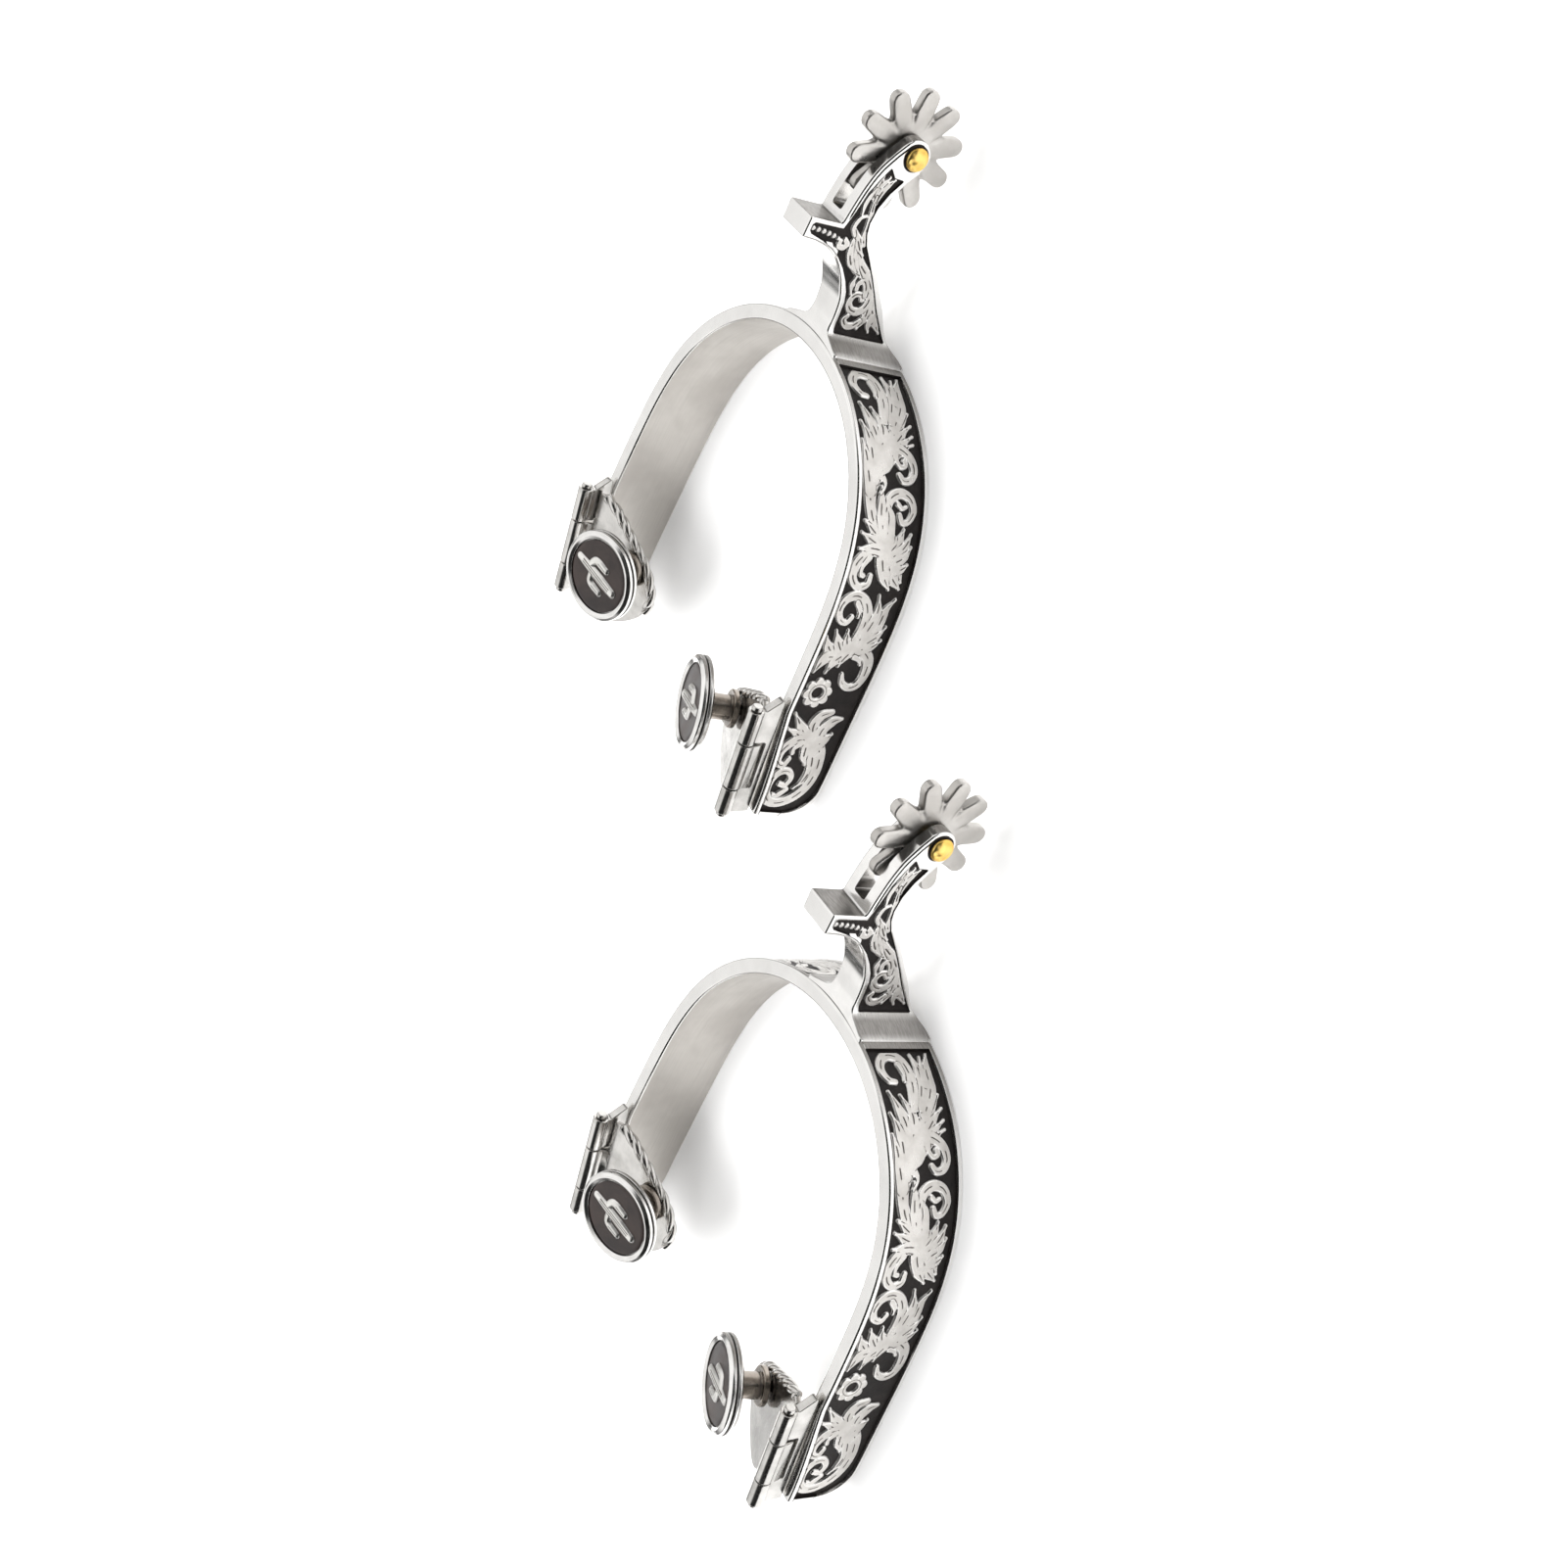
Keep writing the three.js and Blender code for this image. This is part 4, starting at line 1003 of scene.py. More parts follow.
def rowel(phase):
    pitch = 2 * math.pi / ROWEL_POINTS
    roll = 0.5
    outline = rowel_outline(phase)
    hole = ccw(resample(circle((PIN_Y, PIN_Z), PIN_HOLE, 32), 0.4))
    inward = inset_dir(outline)
    rings = [(outline + inward * roll * (1 - math.cos(t)), roll * (1 - math.sin(t)))
             for t in np.linspace(0, math.pi / 2, 5)]
    rings += [(hole, 0.2), (hole - inset_dir(hole) * 0.2, 0.0)]
    loose = (rowel_fill_points(outline, phase, roll), 0.0)
    flat, tris, drops = fill(rings, loose, outline, hole)
    radius, turn = rowel_polar(flat, phase)
    across = radius * np.sin(turn * 2 * math.pi / ROWEL_POINTS)
    gap = radius * np.sin((0.5 - np.abs(turn)) * pitch)
    groove = 0.34 * (1 - smoothstep(gap, 0.0, 0.9)) * smoothstep(radius, 4.9, 8.0)
    crown = 0.22 * np.clip(np.abs(across) / 2.2, 0, 1) ** 2 * smoothstep(radius, 6.0, 9.0)
    crown = crown + 0.12 * smoothstep(radius, 11.5, ROWEL_RADIUS)
    half = ROWEL_HALF_THICK - np.minimum(drops + groove + crown, 1.2)
    geo = Geo()
    geo.add(np.column_stack([half, flat]), tris)
    geo.add(np.column_stack([-half, flat]), tris[:, ::-1])
    for loop in (outline, hole[::-1]):
        nearest = ((flat[None] - loop[:, None]) ** 2).sum(-1).argmin(1)
        columns = [np.column_stack([half[nearest] * k, loop])
                   for k in (1, 0.85, 0.4, -0.4, -0.85, -1)]
        geo.add(np.vstack(columns), quads(6, len(loop), wrap=True))
    return geo.outward()


# plate and lathe (u, v, w) to (x, y, z) = (w, u, v)
FACE_X = Matrix(((0, 0, 1, 0), (1, 0, 0, 0), (0, 1, 0, 0), (0, 0, 0, 1)))


def rowel_pin():
    """Pin along X with a dented dome on each end."""
    shoulder, head, rise, shaft = 5.4, 2.7, 1.5, 1.6
    dome = [(head, 0.0), (head, 0.28)]
    dome += [(head * math.cos(t), 0.28 + (rise - 0.28) * math.sin(t))
             for t in np.linspace(0, math.pi / 2, 12)[1:-1]]
    profile = [(0.02, -shoulder - rise)] + [(r, -shoulder - h) for r, h in reversed(dome)]
    profile += [(shaft, -shoulder), (shaft, shoulder)]
    profile += [(r, shoulder + h) for r, h in dome] + [(0.02, shoulder + rise)]
    rng = np.random.default_rng(4)
    # angle, distance from the axis, depth
    dents = [(rng.uniform(0, 6.28), 2.3 * math.sqrt(rng.uniform(0.01, 1.0)),
              rng.uniform(0.08, 0.17)) for _ in range(22)]

    def dent(radius, height, angles):
        out = height.copy()
        on_head = np.abs(height) > shoulder + 0.2
        for angle, away, depth in dents:
            x = radius * np.cos(angles) - away * math.cos(angle)
            y = radius * np.sin(angles) - away * math.sin(angle)
            out -= np.sign(height) * depth * np.exp(-(x * x + y * y) / 0.28) * on_head
        return radius, out

    return lathe(profile, 48, wave=dent).mapped(Matrix.Translation((0, PIN_Y, PIN_Z)) @ FACE_X)


# ---------------------------------------------------------------- hinge, hanger and button
# HINGE axes: X out, Y along the hinge, Z up. HANGER_FRAME is the same turned about the hinge.
AXIS = Vector((-0.02478097, 0.98844595, -0.14953432)).normalized()
UPWARD = (Vector((0, 0, 1)) - AXIS * AXIS.z).normalized()
OUTWARD = AXIS.cross(UPWARD).normalized()
HINGE = Matrix((
    (OUTWARD.x, AXIS.x, UPWARD.x, 47.69),
    (OUTWARD.y, AXIS.y, UPWARD.y, 81.82),
    (OUTWARD.z, AXIS.z, UPWARD.z, 14.3),
    (0, 0, 0, 1),
))
HANGER_FRAME = HINGE @ Matrix.Rotation(math.radians(-107.6), 4, "Y")
STUD_PLACE = (-0.87, 18.98)  # (u, v) on the hanger plate
STUD = Matrix.Translation((0, *STUD_PLACE)) @ FACE_X
ALONG_HINGE = Matrix(((0, 1, 0, 0), (0, 0, 1, 0), (1, 0, 0, 0), (0, 0, 0, 1)))
# knuckle joints along the hinge: leaf, hanger, leaf
KNUCKLES = [-13.9, -5.1, 7.7, 14.6]
HANGER_KNUCKLE = (-4.7, 7.3)

# (u, v) outline of the hanger plate above its straight foot
HANGER = [
    [-13.9, 5.2], [-11.6, 9.4], [-8.8, 13.9], [-6.1, 18.3], [-3.4, 22.3], [0, 25.4],
    [4.0, 27.0], [8.4, 26.0], [12, 22.8], [15.0, 18.4], [16.9, 13.9], [16.2, 10.3],
    [12.3, 7.2], [8.2, 4.9],
]
ROPE = [[-13.6, 4.4]] + HANGER[1:8]


def barrel(start, stop):
    bore, outer = 1.05, 1.95
    profile = [(bore, start), (outer, start), (outer, stop), (bore, stop)]
    profile = rounded(profile, [0.1, 0.22, 0.22, 0.1], seg=3, hold=0.05)
    return lathe(profile, 40, closed=True).mapped(ALONG_HINGE)


def hinge_leaf():
    first, second, third, fourth = KNUCKLES
    low, notch, high = -6.35, -4.7, 0.4
    outline = [[-17.2, low], [fourth, low], [fourth, high], [third, high], [third, notch],
               [second, notch], [second, high], [first, high], [first, -2.2]]
    outline = rounded(outline, [0.7, 0.6, 0.3, 0.3, 0.5, 0.5, 0.3, 0.3, 1.2], hold=0)
    geo = Geo()
    geo.merge(plate(outline, -1.3, 0.9, bevel=0.22, step=0.8).mapped(FACE_X))
    geo.merge(barrel(first, second))
    geo.merge(barrel(third, fourth))
    return geo.mapped(HINGE)


def hinge_pin():
    start, stop, shaft, head, cap = -14.2, 14.9, 0.75, 1.3, 0.9
    profile = [(0.02, start - cap), (head, start - cap), (head, start), (shaft, start),
               (shaft, stop), (head, stop), (head, stop + cap), (0.02, stop + cap)]
    profile = rounded(profile, [0, 0.4, 0.08, 0, 0, 0.08, 0.4, 0], closed=False)
    return lathe(profile, 32).mapped(ALONG_HINGE).mapped(HINGE)


def hanger():
    geo = Geo()
    outline = np.vstack([[[7.3, 3.0], [-13.4, 3.0]], smooth_line(HANGER, 70)])
    hole = circle(STUD_PLACE, 1.6, 24)
    geo.merge(plate(outline, -3.6, -2.2, holes=[hole], step=0.7).mapped(FACE_X))
    # web from plate to knuckle as (x, z); it ends inside the knuckle's wall, clear of the bore
    web = [[-3.6, -0.2], [-2.0, -1.2], [-1.2, -1.2], [-1.3, 0.0], [-1.2, 1.0], [-0.35, 1.6],
           [-1.2, 2.2], [-2.2, 3.6], [-3.6, 3.6]]
    web = rounded(web, [0.3, 0.5, 0.05, 0.05, 0.05, 0.05, 0.5, 0.3, 0.2], seg=3, hold=0)
    upright = Matrix(((1, 0, 0, 0), (0, 0, 1, 0), (0, 1, 0, 0), (0, 0, 0, 1)))
    geo.merge(plate(web, *HANGER_KNUCKLE, bevel=0.15, seg=2).mapped(upright))
    geo.merge(barrel(*HANGER_KNUCKLE))
    return geo.mapped(HANGER_FRAME)


def rope():
    """Two-strand twist along the hanger's edge."""
    count, around = 380, 40
    radius, lay = 1.3, 7.6
    line = smooth_line(ROPE, count)
    tangent = unit(np.gradient(line, axis=0))
    length = arc_lengths(line)
    angles = np.arange(around) * 2 * math.pi / around
    twist = (2 * math.pi * length / lay)[:, None]
    lobe = np.abs(np.cos(angles[None, :] - twist)) ** 0.6
    from_end = np.minimum(length, length[-1] - length)
    taper = np.minimum(1, np.sqrt(np.clip(from_end / 0.8, 0.0004, 1)))
    radii = (radius * (0.60 + 0.40 * lobe) * taper[:, None])[..., None]
    raised = np.array([0.0, 0, 1])
    sideways = np.column_stack([tangent[:, 1], -tangent[:, 0], np.zeros(count)])[:, None, :]
    centre = np.column_stack([line, np.full(count, -2.9)])[:, None, :]
    cos, sin = (f(angles)[None, :, None] for f in (np.cos, np.sin))
    verts = centre + radii * (cos * raised + sin * sideways)
    ring = np.arange(around)
    faces = [quads(count, around, wrap=True), ring[None, ::-1],
             (ring + (count - 1) * around)[None, :]]
    geo = Geo()
    geo.add(verts.reshape(-1, 3), faces, line=(-0.1 + 0.42 * (1 - lobe) ** 1.5).ravel())
    return geo.outward().mapped(FACE_X).mapped(HANGER_FRAME)


def stud():
    profile = [(0.02, -3.5), (1.3, -3.5), (1.3, -1.9), (3.2, -1.9), (3.2, -1.4), (4.6, -1.4),
               (4.6, 0.0), (3.1, 0.0), (3.1, 6.3), (0.02, 6.3)]
    profile = rounded(profile, [0, 0.12, 0, 0.1, 0, 0.3, 0.35, 0.25, 0.1, 0], closed=False)
    return lathe(profile, 56).mapped(STUD).mapped(HANGER_FRAME)


def button():
    outer, inner = 11.3, 9.3
    profile = [(0.02, 6.5), (outer - 0.9, 6.5), (outer, 7.1), (outer, 7.9), (10.55, 8.15),
               (outer, 8.4), (outer, 9.3), (10.3, 9.98), (inner, 9.45), (inner, 8.7), (0.02, 8.7)]
    radii = [0, 0.4, 0.35, 0.25, 0.12, 0.3, 0.55, 0.6, 0.2, 0.05, 0]
    profile = rounded(profile, radii, closed=False, seg=5)

    def knurl(radius, height, angles):
        mask = np.exp(-((height - 8.15) ** 2) / 0.02) * (radius > 10.3)
        return radius - 0.05 * mask * (0.5 + 0.5 * np.cos(72 * angles)), height

    return lathe(profile, 288, wave=knurl).mapped(STUD).mapped(HANGER_FRAME)


def enamel():
    base = 9.3
    profile = [(0.02, 8.98), (9.0, 8.98), (9.05, 9.2), (8.9, base)]
    profile += [(r, base + 0.08 * (1 - (r / 8.9) ** 2)) for r in (8, 7, 6, 5, 4, 3, 2, 1, 0.02)]
    return lathe(profile, 96).mapped(STUD).mapped(HANGER_FRAME)


def emblem():
    """A ribbed trunk with two bent arms, tilted on the enamel."""
    cos, sin = math.cos(math.radians(-17)), math.sin(math.radians(-17))
    art = Ornament(lambda u, v: (u * cos - v * sin, u * sin + v * cos), module=1.0)
    for points, radii in (
        ([(0.1, -7.3), (0, -3), (0, 2), (0, 6.0)], [0.95, 1.25, 1.4, 1.15]),
        ([(0, -3.4), (-2.2, -3.0), (-3.1, -1.9), (-3.2, 1.5)], [1.0, 1.0, 1.05, 0.9]),
        ([(0, -2.0), (2.2, -1.6), (3.1, -0.6), (3.2, 2.7)], [1.0, 1.0, 1.05, 0.9]),
    ):
        art.stroke(points, radii, vein=False, outlined=False)
    ticks = np.arange(-8.8, 8.8, 0.12 * COARSEN)
    x, y = np.meshgrid(ticks, ticks, indexing="ij")
    depth = art.fields(x, y)[0]
    u, v = x * cos + y * sin, -x * sin + y * cos
    rib = np.maximum.reduce([0.1 - np.abs(u - k) - 5 * (np.abs(v + 0.3) > 5.4)
                             for k in (-0.5, 0.12, 0.72)])
    for centre, low, high in ((-3.15, -1.4, 1.6), (3.15, -0.2, 2.8)):
        rib = np.maximum(rib, 0.07 - np.abs(u - centre) - 5 * ((v < low) | (v > high)))
    height = 0.72 * np.sqrt(np.clip((depth + 0.08) / 0.75, 0, 1))
    height = height - 0.14 * smoothstep(rib, -0.1, 0.06) * (depth > 0.2)
    height = np.where(depth < -0.08, depth + 0.08, height)
    top = np.stack([x, y, 9.33 + height], -1)
    back = np.stack([x, y, np.full(x.shape, 9.08)], -1)
    geo = relief_sheet(top, back, depth, np.where(depth > 0.15, rib, -9), reach=0.22)
    return geo.mapped(STUD).mapped(HANGER_FRAME)


# ---------------------------------------------------------------- materials
class Shader:
    """Adds nodes to an emptied node tree; values may be numbers or output sockets."""

    def __init__(self, tree):
        self.tree = tree
        tree.nodes.clear()

    def feed(self, node, inputs):
        for key, value in inputs.items():
            if isinstance(value, bpy.types.NodeSocket):
                self.tree.links.new(value, node.inputs[key])
            else:
                node.inputs[key].default_value = value

    def node(self, kind, inputs=None, **settings):
        node = self.tree.nodes.new(kind)
        for key, value in settings.items():
            setattr(node, key, value)
        self.feed(node, inputs or {})
        return node

    def coords(self, scale=(1, 1, 1), turn=(0, 0, 0)):
        vector = self.node("ShaderNodeTexCoord").outputs["Object"]
        inputs = {"Scale": scale, "Rotation": turn, "Vector": vector}
        return self.node("ShaderNodeMapping", inputs).outputs[0]

    def noise(self, vector, scale, detail=3, roughness=0.55, distortion=0.0):
        return self.node("ShaderNodeTexNoise", {
            "Scale": scale, "Detail": detail, "Roughness": roughness,
            "Distortion": distortion, "Vector": vector}).outputs["Fac"]

    def remap(self, value, span, to=(0, 1), smooth=True):
        return self.node("ShaderNodeMapRange", {
            "From Min": span[0], "From Max": span[1], "To Min": to[0], "To Max": to[1],
            "Value": value}, interpolation_type="SMOOTHSTEP" if smooth else "LINEAR").outputs[0]

    def mix(self, factor, first, second):
        colors = [c if isinstance(c, bpy.types.NodeSocket) else (*c, 1) for c in (first, second)]
        # sockets 6 and 7 are the colour inputs, output 2 the colour
        return self.node("ShaderNodeMix", {0: factor, 6: colors[0], 7: colors[1]},
                         data_type="RGBA").outputs[2]

    def math(self, operation, first, second):
        return self.node("ShaderNodeMath", {0: first, 1: second}, operation=operation).outputs[0]

    def attribute(self, name):
        return self.node("ShaderNodeAttribute", attribute_name=name).outputs["Fac"]

    def bump(self, height, distance, strength, under=None):
        inputs = {"Distance": distance, "Strength": strength, "Height": height}
        if under is not None:
            inputs["Normal"] = under
        return self.node("ShaderNodeBump", inputs).outputs[0]

    def crevice(self, distance):
        """0 in tight corners, 1 in the open."""
        occlusion = self.node("ShaderNodeAmbientOcclusion", {"Distance": distance},
                              samples=4, only_local=True)
        return self.remap(occlusion.outputs["AO"], span=(0.35, 0.95))

    def facing_back(self):
        """1 on faces that look toward the object's -Y."""
        normal = self.node("ShaderNodeNewGeometry").outputs["Normal"]
        local = self.node("ShaderNodeVectorTransform", {0: normal}, vector_type="NORMAL",
                          convert_from="WORLD", convert_to="OBJECT").outputs[0]
        y = self.node("ShaderNodeSeparateXYZ", {0: local}).outputs["Y"]
        return self.remap(self.math("MULTIPLY", y, -1.0), span=(0.72, 0.97))


def new_material(name):
    material = bpy.data.materials.new(name)
    material.use_nodes = True
    shader = Shader(material.node_tree)
    bsdf = shader.node("ShaderNodeBsdfPrincipled")
    shader.node("ShaderNodeOutputMaterial", {0: bsdf.outputs[0]})
    return material, shader, bsdf


def darker(color, factor):
    return [channel * factor for channel in color]


def metal(name, light, dark, rough, spread, back=None, grain=(1, 1, 1), turn=(0, 0, 0),
          grain_scale=900, brush=0.0, aniso=0.0, crevice_shade_and_tarnish=(0.10, 0.095, 0.09), crevice=0.0011,
          cloud_scale=45, scratch=0.35):
    """Metal clouded from light to dark, with streaks along grain, and painted shade with tarnish
    darkening its crevices.
    back is the colour of the faces that look backward: partly their brushed finish, partly painted
    shade where less light falls on them."""
    material, shader, bsdf = new_material(name)
    flat = shader.coords()
    cloud = shader.noise(flat, scale=cloud_scale, detail=4, roughness=0.6)
    streak = shader.noise(shader.coords(grain, turn), scale=grain_scale, roughness=0.6)
    speck = shader.noise(flat, scale=2600, detail=2, roughness=0.5)
    base = shader.mix(shader.remap(cloud, span=(0.35, 0.68)), light, dark)
    streaks = shader.remap(streak, span=(0.3, 0.72), to=(0, 0.35 if brush else 0.12))
    base = shader.mix(streaks, base, darker(light, 0.86))
    open_area = shader.crevice(crevice)
    clouded = shader.remap(cloud, span=(0.3, 0.7), to=(rough - spread, rough + spread),
                           smooth=False)
    scratched = shader.remap(streak, span=(0.35, 0.7), to=(0, scratch * 0.16), smooth=False)
    roughness = shader.math("ADD", clouded, scratched)
    tarnished = shader.remap(open_area, span=(0, 1), to=(0.25, 0.0), smooth=False)
    roughness = shader.math("ADD", roughness, tarnished)
    # painted shade: faces looking backward are coloured darker because less light falls on them; the
    # streaks are their brushing
    if back:
        backward = shader.facing_back()
        brushed_shaded_back = shader.mix(shader.remap(streak, span=(0.35, 0.65)), back, darker(back, 0.75))
        base = shader.mix(backward, base, brushed_shaded_back)
        roughness = shader.math("ADD", roughness, shader.math("MULTIPLY", backward, 0.2))
    # painted shade: crevices found by ambient occlusion are darkened toward this colour, which stands
    # for shade as well as tarnish
    base = shader.mix(open_area, crevice_shade_and_tarnish, base)
    grooves = shader.bump(streak, distance=0.00002, strength=0.25 + brush)
    normal = shader.bump(speck, distance=0.000008, strength=0.25, under=grooves)
    shader.feed(bsdf, {"Base Color": base, "Metallic": 1.0, "Roughness": roughness,
                       "Anisotropic": aniso, "Normal": normal})
    return material


def raised_silver(name, light, dark):
    """Silver relief with blackened engraving, read from the mesh's line and depth."""
    material, shader, bsdf = new_material(name)
    flat = shader.coords()
    cloud = shader.noise(flat, scale=160, detail=4, roughness=0.6)
    fine = shader.noise(flat, scale=1900, detail=2, roughness=0.5)
    line = shader.remap(shader.attribute("line"), span=(-0.085, 0.02))
    rim = shader.remap(shader.attribute("depth"), span=(-0.10, 0.05), to=(1, 0))
    base = shader.mix(shader.remap(cloud, span=(0.34, 0.68)), light, dark)
    # painted highlight: a bright border round a softer body, where the stroke edges catch the light
    body = shader.remap(shader.attribute("depth"), span=(0.20, 0.48))
    base = shader.mix(body, (0.80, 0.785, 0.765), base)
    base = shader.mix(line, base, (0.085, 0.073, 0.065))
    base = shader.mix(rim, base, (0.03, 0.026, 0.025))
    black = shader.math("MULTIPLY", shader.math("MAXIMUM", line, rim), 0.8)
    clouded = shader.remap(cloud, span=(0.3, 0.7), to=(0.24, 0.36), smooth=False)
    roughness = shader.math("ADD", clouded, shader.math("MULTIPLY", line, 0.25))
    shader.feed(bsdf, {"Base Color": base, "Metallic": shader.math("SUBTRACT", 1.0, black),
                       "Roughness": roughness,
                       "Normal": shader.bump(fine, distance=0.00002, strength=0.35)})
    return material


def blackened_ground():
    material, shader, bsdf = new_material("blackened_ground_look")
    flat = shader.coords()
    cloud = shader.noise(flat, scale=210, detail=5, roughness=0.65)
    grain = shader.noise(flat, scale=3200, roughness=0.6)
    base = shader.mix(shader.remap(cloud, span=(0.3, 0.72)),
                      (0.008, 0.006, 0.0055), (0.020, 0.0155, 0.014))
    glints = shader.remap(grain, span=(0.58, 0.78), to=(0, 0.5))
    base = shader.mix(glints, base, (0.06, 0.052, 0.048))
    roughness = shader.remap(grain, span=(0.3, 0.7), to=(0.42, 0.62), smooth=False)
    shader.feed(bsdf, {"Base Color": base, "Metallic": 0.1, "Specular IOR Level": 0.22,
                       "Roughness": roughness,
                       "Normal": shader.bump(grain, distance=0.00006, strength=0.6)})
    return material


def dark_enamel():
    material, shader, bsdf = new_material("dark_enamel_look")
    flat = shader.coords()
    cloud = shader.noise(flat, scale=130, detail=4, roughness=0.6, distortion=0.4)
    pits = shader.noise(flat, scale=1500, roughness=0.6)
    base = shader.mix(shader.remap(cloud, span=(0.32, 0.7)),
                      (0.012, 0.0075, 0.007), (0.034, 0.023, 0.020))
    roughness = shader.remap(cloud, span=(0.3, 0.7), to=(0.30, 0.46), smooth=False)
    shader.feed(bsdf, {"Base Color": base, "Roughness": roughness, "Coat Weight": 0.12,
                       "Specular IOR Level": 0.35, "Coat Roughness": 0.12,
                       "Normal": shader.bump(pits, distance=0.00004, strength=0.35)})
    return material


# back is painted shade for the faces that look backward
POLISHED = metal("polished_steel_look", light=(0.87, 0.86, 0.845), dark=(0.77, 0.76, 0.745),
                 rough=0.13, spread=0.04, back=(0.34, 0.325, 0.31), grain=(1, 1, 7),
                 grain_scale=420, scratch=0.5, crevice=0.0013)
SATIN = metal("satin_steel_look", light=(0.61, 0.585, 0.55), dark=(0.50, 0.475, 0.445),
              rough=0.36, spread=0.05, grain=(0.25, 0.25, 9), turn=(0.5, 0.3, 0),
              grain_scale=330, brush=0.35, aniso=0.35, crevice=0.0009, scratch=0.8)
SATIN_ROWEL = metal("satin_rowel_look", light=(0.62, 0.60, 0.575), dark=(0.50, 0.48, 0.455),
                    rough=0.30, spread=0.06, grain=(6, 1, 1), grain_scale=300, brush=0.3,
                    crevice=0.0014, scratch=0.6, cloud_scale=120)
# painted shade: the stud is coloured dark brown for the shade it sits in under the button
SHADED_STUD_STEEL = metal("shaded_stud_steel_look", light=(0.42, 0.375, 0.33), dark=(0.22, 0.19, 0.165),
               rough=0.20, spread=0.05, grain_scale=500, crevice=0.0022, cloud_scale=160)
HINGE_STEEL = metal("hinge_steel_look", light=(0.70, 0.685, 0.665), dark=(0.50, 0.49, 0.47),
                    rough=0.17, spread=0.05, scratch=0.4, crevice=0.0015, cloud_scale=90)
ROPE_STEEL = metal("rope_edge_look", light=(0.68, 0.665, 0.645), dark=(0.50, 0.485, 0.465),
                   rough=0.2, spread=0.05, crevice=0.0013, cloud_scale=90)
BRASS = metal("brass_look", light=(0.99, 0.72, 0.23), dark=(0.88, 0.54, 0.12), rough=0.31,
              spread=0.06, crevice_shade_and_tarnish=(0.16, 0.08, 0.02), crevice=0.0009, cloud_scale=240)
SILVER = raised_silver("raised_silver_look", light=(0.62, 0.60, 0.575), dark=(0.50, 0.48, 0.455))
EMBLEM_SILVER = raised_silver("emblem_silver_look", light=(0.84, 0.83, 0.80),
                              dark=(0.72, 0.71, 0.68))
GROUND = blackened_ground()
ENAMEL = dark_enamel()


# ---------------------------------------------------------------- build and place
def link(name, data):
    obj = bpy.data.objects.new(name, data)
    bpy.context.scene.collection.objects.link(obj)
    return obj


def cut_shank(solid_mesh):
    """Cuts the rowel slot and the pin hole through the shank."""
    slot = [[-2.1, -75.0], [2.1, -75.0], [2.1, -32.4], [-2.1, -32.4]]
    slot = plate(rounded(slot, [0, 0, 0.8, 0.8], hold=0), -20, 40, bevel=0.01, seg=1, step=3)
    cut_box = bpy.data.objects.new("cut_box", slot.mesh("cut_box", []))
    hole = plate(circle((PIN_Y, PIN_Z), PIN_HOLE, 40), -9, 9, bevel=0.01, seg=1, step=3)
    cut_hole = bpy.data.objects.new("cut_hole", hole.mapped(FACE_X).mesh("cut_hole", []))
    solid = bpy.data.objects.new("shank_solid", solid_mesh)
    for obj in (cut_box, cut_hole, solid):
        bpy.context.scene.collection.objects.link(obj)
    for cutter in (cut_box, cut_hole):
        cut = solid.modifiers.new(cutter.name, "BOOLEAN")
        cut.operation, cut.object, cut.solver = "DIFFERENCE", cutter, "EXACT"
    graph = bpy.context.evaluated_depsgraph_get()
    mesh = bpy.data.meshes.new_from_object(solid.evaluated_get(graph), depsgraph=graph)
    mesh.name = "shank_cut"
    # guards against a boolean result that lost its material slots
    if not mesh.materials:
        for mat in (POLISHED, GROUND):
            mesh.materials.append(mat)
    shade_smooth(mesh, 38)
    for obj in (solid, cut_box, cut_hole):
        bpy.data.objects.remove(obj)
    return mesh


def put(name, mesh, spur, body, replaces=None):
    obj = link(name, mesh)
    obj.matrix_world = PLACE[spur]
    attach(obj, body)
    if replaces:
        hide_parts(replaces)


band_mesh = heel_band().mesh("heel_band_look", [POLISHED, GROUND, SATIN], sharp=38)
band_art = band_ornament()
band_scrolls = {side: scroll_for_band(band_art, sign).mesh("band_scroll_" + side, [SILVER])
                for side, sign in (("r", 1), ("l", -1))}
shank_solid = shank_body().mesh("shank_look", [POLISHED, GROUND], weld=0.002, sharp=38)
shank_scroll = scroll_for_shank()
shank_scrolls = {side: geo.mesh("shank_scroll_" + side, [SILVER, GROUND])
                 for side, geo in (("r", shank_scroll), ("l", shank_scroll.mirrored()))}
pin_mesh = rowel_pin().mesh("rowel_pin_look", [BRASS], sharp=50)

# pieces with a right and a left form: shape, material, slot, sharp angle
HANDED = {
    "hinge_leaf": (hinge_leaf(), HINGE_STEEL, "polished_steel", 40),
    "hinge_pin": (hinge_pin(), HINGE_STEEL, "satin_steel", 50),
    "hanger": (hanger(), HINGE_STEEL, "polished_steel", 40),
    "rope": (rope(), ROPE_STEEL, "polished_steel", None),
    "stud": (stud(), SHADED_STUD_STEEL, "satin_steel", 50),
    "button": (button(), POLISHED, "polished_steel", 50),
    "enamel": (enamel(), ENAMEL, "dark_enamel", 50),
    "emblem": (emblem(), EMBLEM_SILVER, "silver", None),
}
handed_meshes = {}
for key, (geo, mat, _, sharp) in HANDED.items():
    handed_meshes[key, "r"] = geo.mesh(key + "_r", [mat], sharp=sharp)
    handed_meshes[key, "l"] = geo.mirrored().mesh(key + "_l", [mat], sharp=sharp)

shank_mesh = cut_shank(shank_solid)

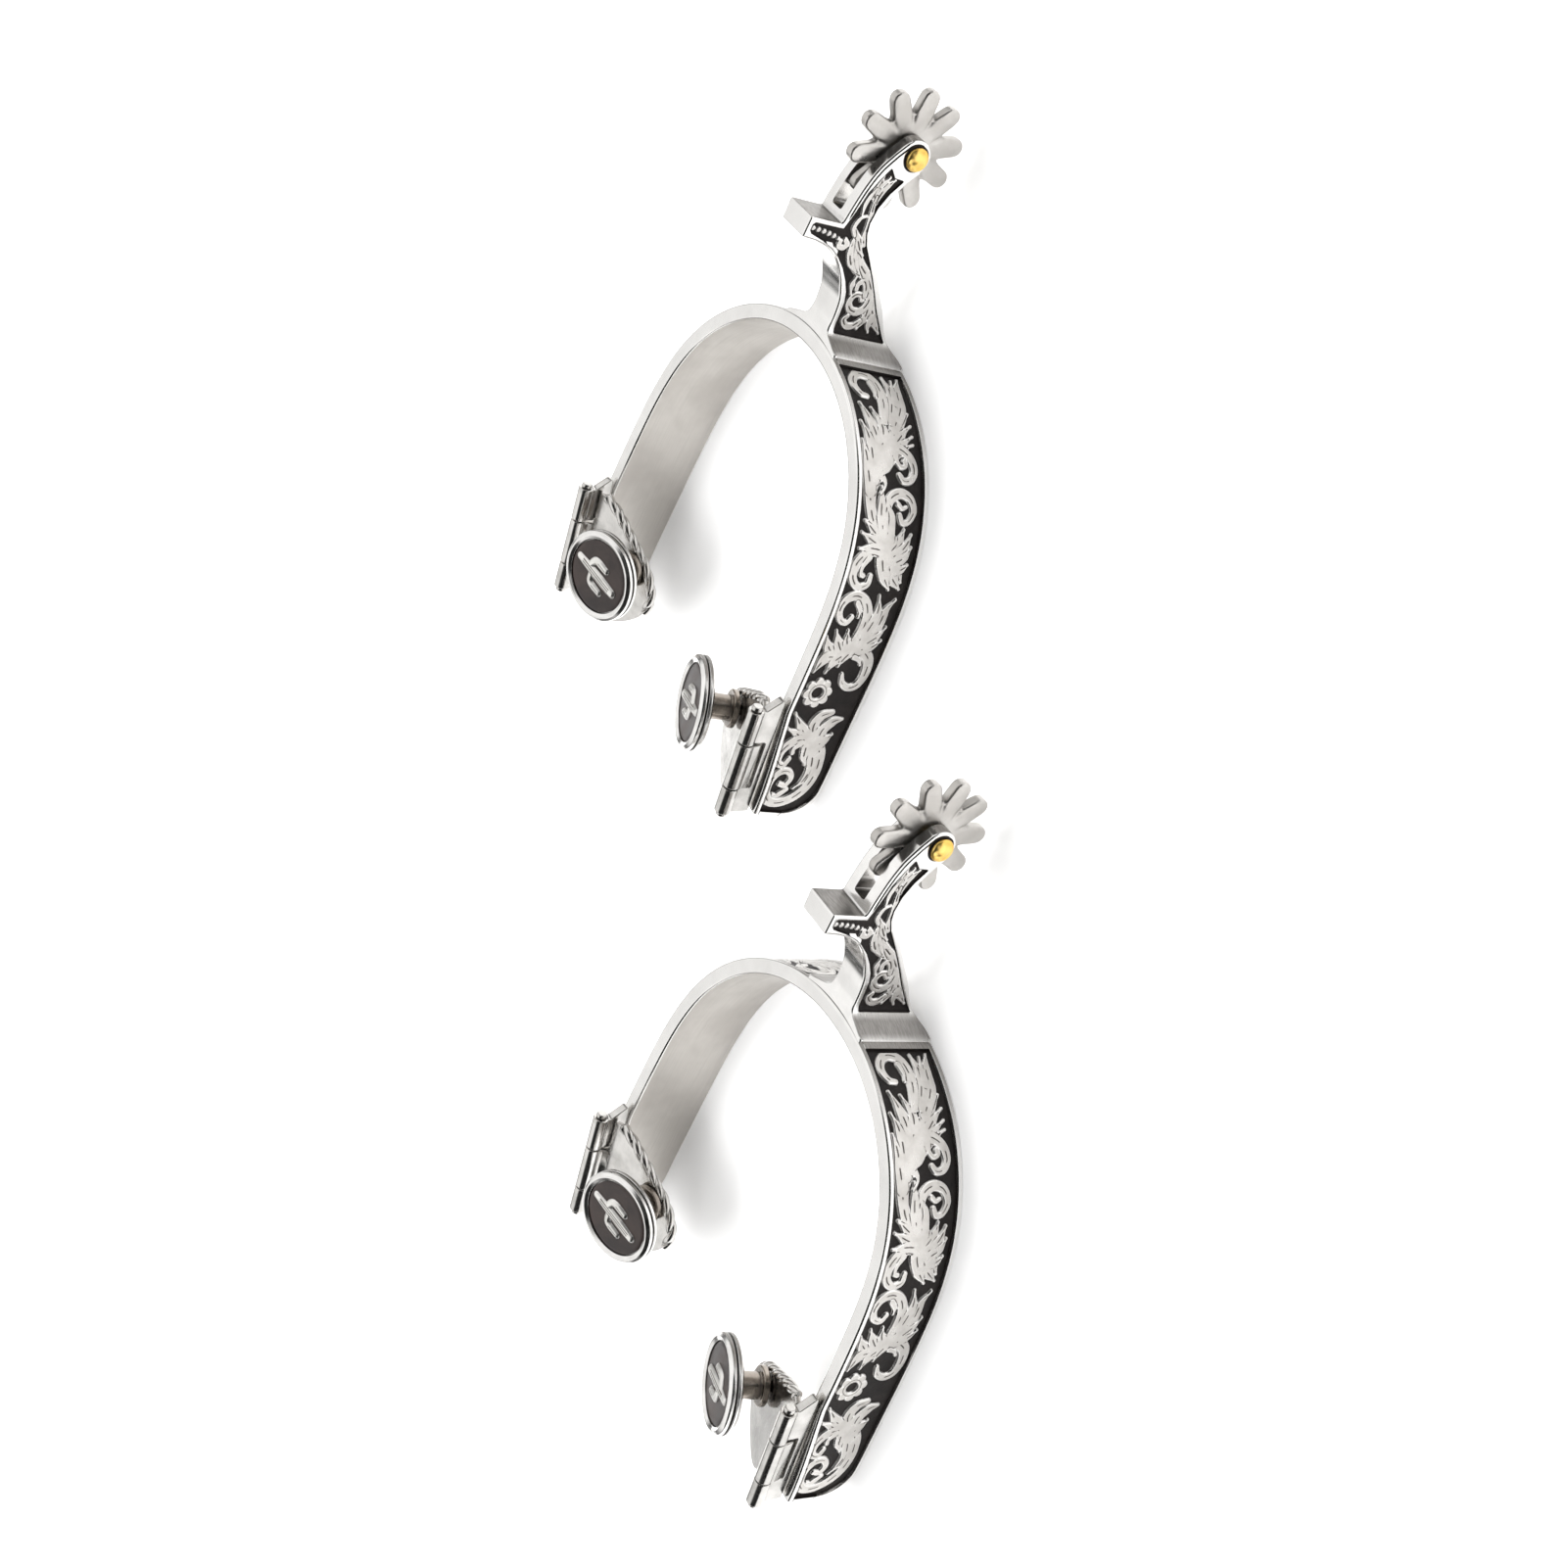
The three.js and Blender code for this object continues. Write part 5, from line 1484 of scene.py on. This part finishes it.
for spur in "ab":
    body = spur + "_frame"
    put(spur + "_band_look", band_mesh, spur, body, spur + "_heel_band")
    for side in "rl":
        put(f"{spur}_band_scroll_{side}", band_scrolls[side], spur, body)
    put(spur + "_shank_look", shank_mesh, spur, body, spur + "_shank")
    for side in "rl":
        put(f"{spur}_shank_scroll_{side}", shank_scrolls[side], spur, body)
    put(spur + "_rowel_pin_look", pin_mesh, spur, body, spur + "_rowel_pin")
    rowel_name = spur + "_rowel_look"
    rowel_mesh = rowel(ROWEL_PHASE[spur]).mesh(rowel_name, [SATIN_ROWEL], weld=0.002, sharp=80)
    put(rowel_name, rowel_mesh, spur, spur + "_rowel", spur + "_rowel")
    for side in "rl":
        for key, (_, _, slot_name, _) in HANDED.items():
            fixed = key in ("hinge_leaf", "hinge_pin")
            put(f"{spur}_{key}_look_{side}", handed_meshes[key, side], spur,
                body if fixed else f"{spur}_hanger_{side}",
                f"{spur}_{key}_{side}" if key != "rope" else None)


# ---------------------------------------------------------------- floor, world, lights, camera
def add_floor():
    mesh = bpy.data.meshes.new("floor")
    mesh.from_pydata([(-6, -6, 0), (6, -6, 0), (6, 6, 0), (-6, 6, 0)], [], [(0, 1, 2, 3)])
    material, shader, bsdf = new_material("pale_floor")
    cloud = shader.noise(shader.coords(), scale=3, detail=2)
    color = shader.mix(shader.remap(cloud, span=(0.3, 0.7)), (0.925,) * 3, (0.90,) * 3)
    shader.feed(bsdf, {"Base Color": color, "Roughness": 0.7, "Specular IOR Level": 0.2,
                       "Emission Color": (1, 1, 1, 1), "Emission Strength": 0.22})
    mesh.materials.append(material)
    link("floor", mesh)


def add_world():
    """Pale studio that brightens with height, with two dark areas seen in reflections."""
    world = bpy.data.worlds.new("studio")
    bpy.context.scene.world = world
    world.use_nodes = True
    shader = Shader(world.node_tree)
    view = shader.node("ShaderNodeTexCoord").outputs["Generated"]
    z = shader.node("ShaderNodeSeparateXYZ", {0: view}).outputs["Z"]
    height = shader.remap(z, span=(0.05, 0.40), to=(0.05, 1.15))
    cloud = shader.noise(view, scale=3.2, detail=1, roughness=0.4)
    shade = shader.remap(cloud, span=(0.40, 0.56), to=(0.86, 1.0))

    def dark_area(direction, span, floor):
        toward = shader.node("ShaderNodeVectorMath", {0: view, 1: direction},
                             operation="DOT_PRODUCT")
        return shader.remap(toward.outputs["Value"], span=span, to=(1.0, floor))

    wide = dark_area((-0.661, -0.426, 0.617), span=(0.70, 0.86), floor=0.03)
    narrow = dark_area((-0.665, 0.57, 0.483), span=(0.78, 0.88), floor=0.02)
    cards = shader.math("MULTIPLY", wide, narrow)
    glow = shader.math("MULTIPLY", shader.math("MULTIPLY", height, shade), cards)
    # the camera itself sees a plain pale backdrop
    direct = shader.node("ShaderNodeLightPath").outputs["Is Camera Ray"]
    reflected = shader.math("MULTIPLY", glow, shader.math("SUBTRACT", 1.0, direct))
    strength = shader.math("ADD", reflected, direct)
    background = shader.node("ShaderNodeBackground",
                             {"Strength": strength, "Color": (1.0, 0.995, 0.985, 1)})
    shader.node("ShaderNodeOutputWorld", {0: background.outputs[0]})


def add_lamp(name, place, size, power, aim=(0, 0, 0.02), color=(1, 1, 1)):
    light = bpy.data.lights.new(name, "AREA")
    light.shape, light.energy, light.color = "RECTANGLE", power, color
    light.size, light.size_y = size
    obj = link(name, light)
    obj.location = place
    obj.rotation_mode = "QUATERNION"
    obj.rotation_quaternion = (Vector(aim) - Vector(place)).to_track_quat("-Z", "Y")
    obj.visible_glossy = False


def add_camera():
    camera = bpy.data.cameras.new("camera")
    camera.sensor_width, camera.lens = 36.0, 57.50194
    camera.clip_start, camera.clip_end = 0.01, 20
    obj = link("camera", camera)
    obj.matrix_world = Matrix((
        (-0.44684457, 0.595828169, -0.667322054, -0.37720087),
        (-0.398521029, -0.800408286, -0.447803042, -0.24305223),
        (-0.800943768, 0.065843513, 0.595108151, 0.3524227),
        (0, 0, 0, 1),
    ))
    bpy.context.scene.camera = obj


add_floor()
add_world()
add_lamp("overhead", place=(0.25, 0.45, 1.35), size=(1.3, 1.0), power=15, aim=(0, 0, 0))
add_lamp("side_fill", place=(1.2, -0.5, 0.65), size=(0.8, 0.9), power=6, color=(1, 0.99, 0.97))
add_lamp("camera_side", place=(-0.95, 0.35, 0.85), size=(0.6, 0.8), power=6)
add_camera()
view_settings = bpy.context.scene.view_settings
view_settings.view_transform, view_settings.look = "Standard", "None"
view_settings.exposure, view_settings.gamma = 0.0, 1.0
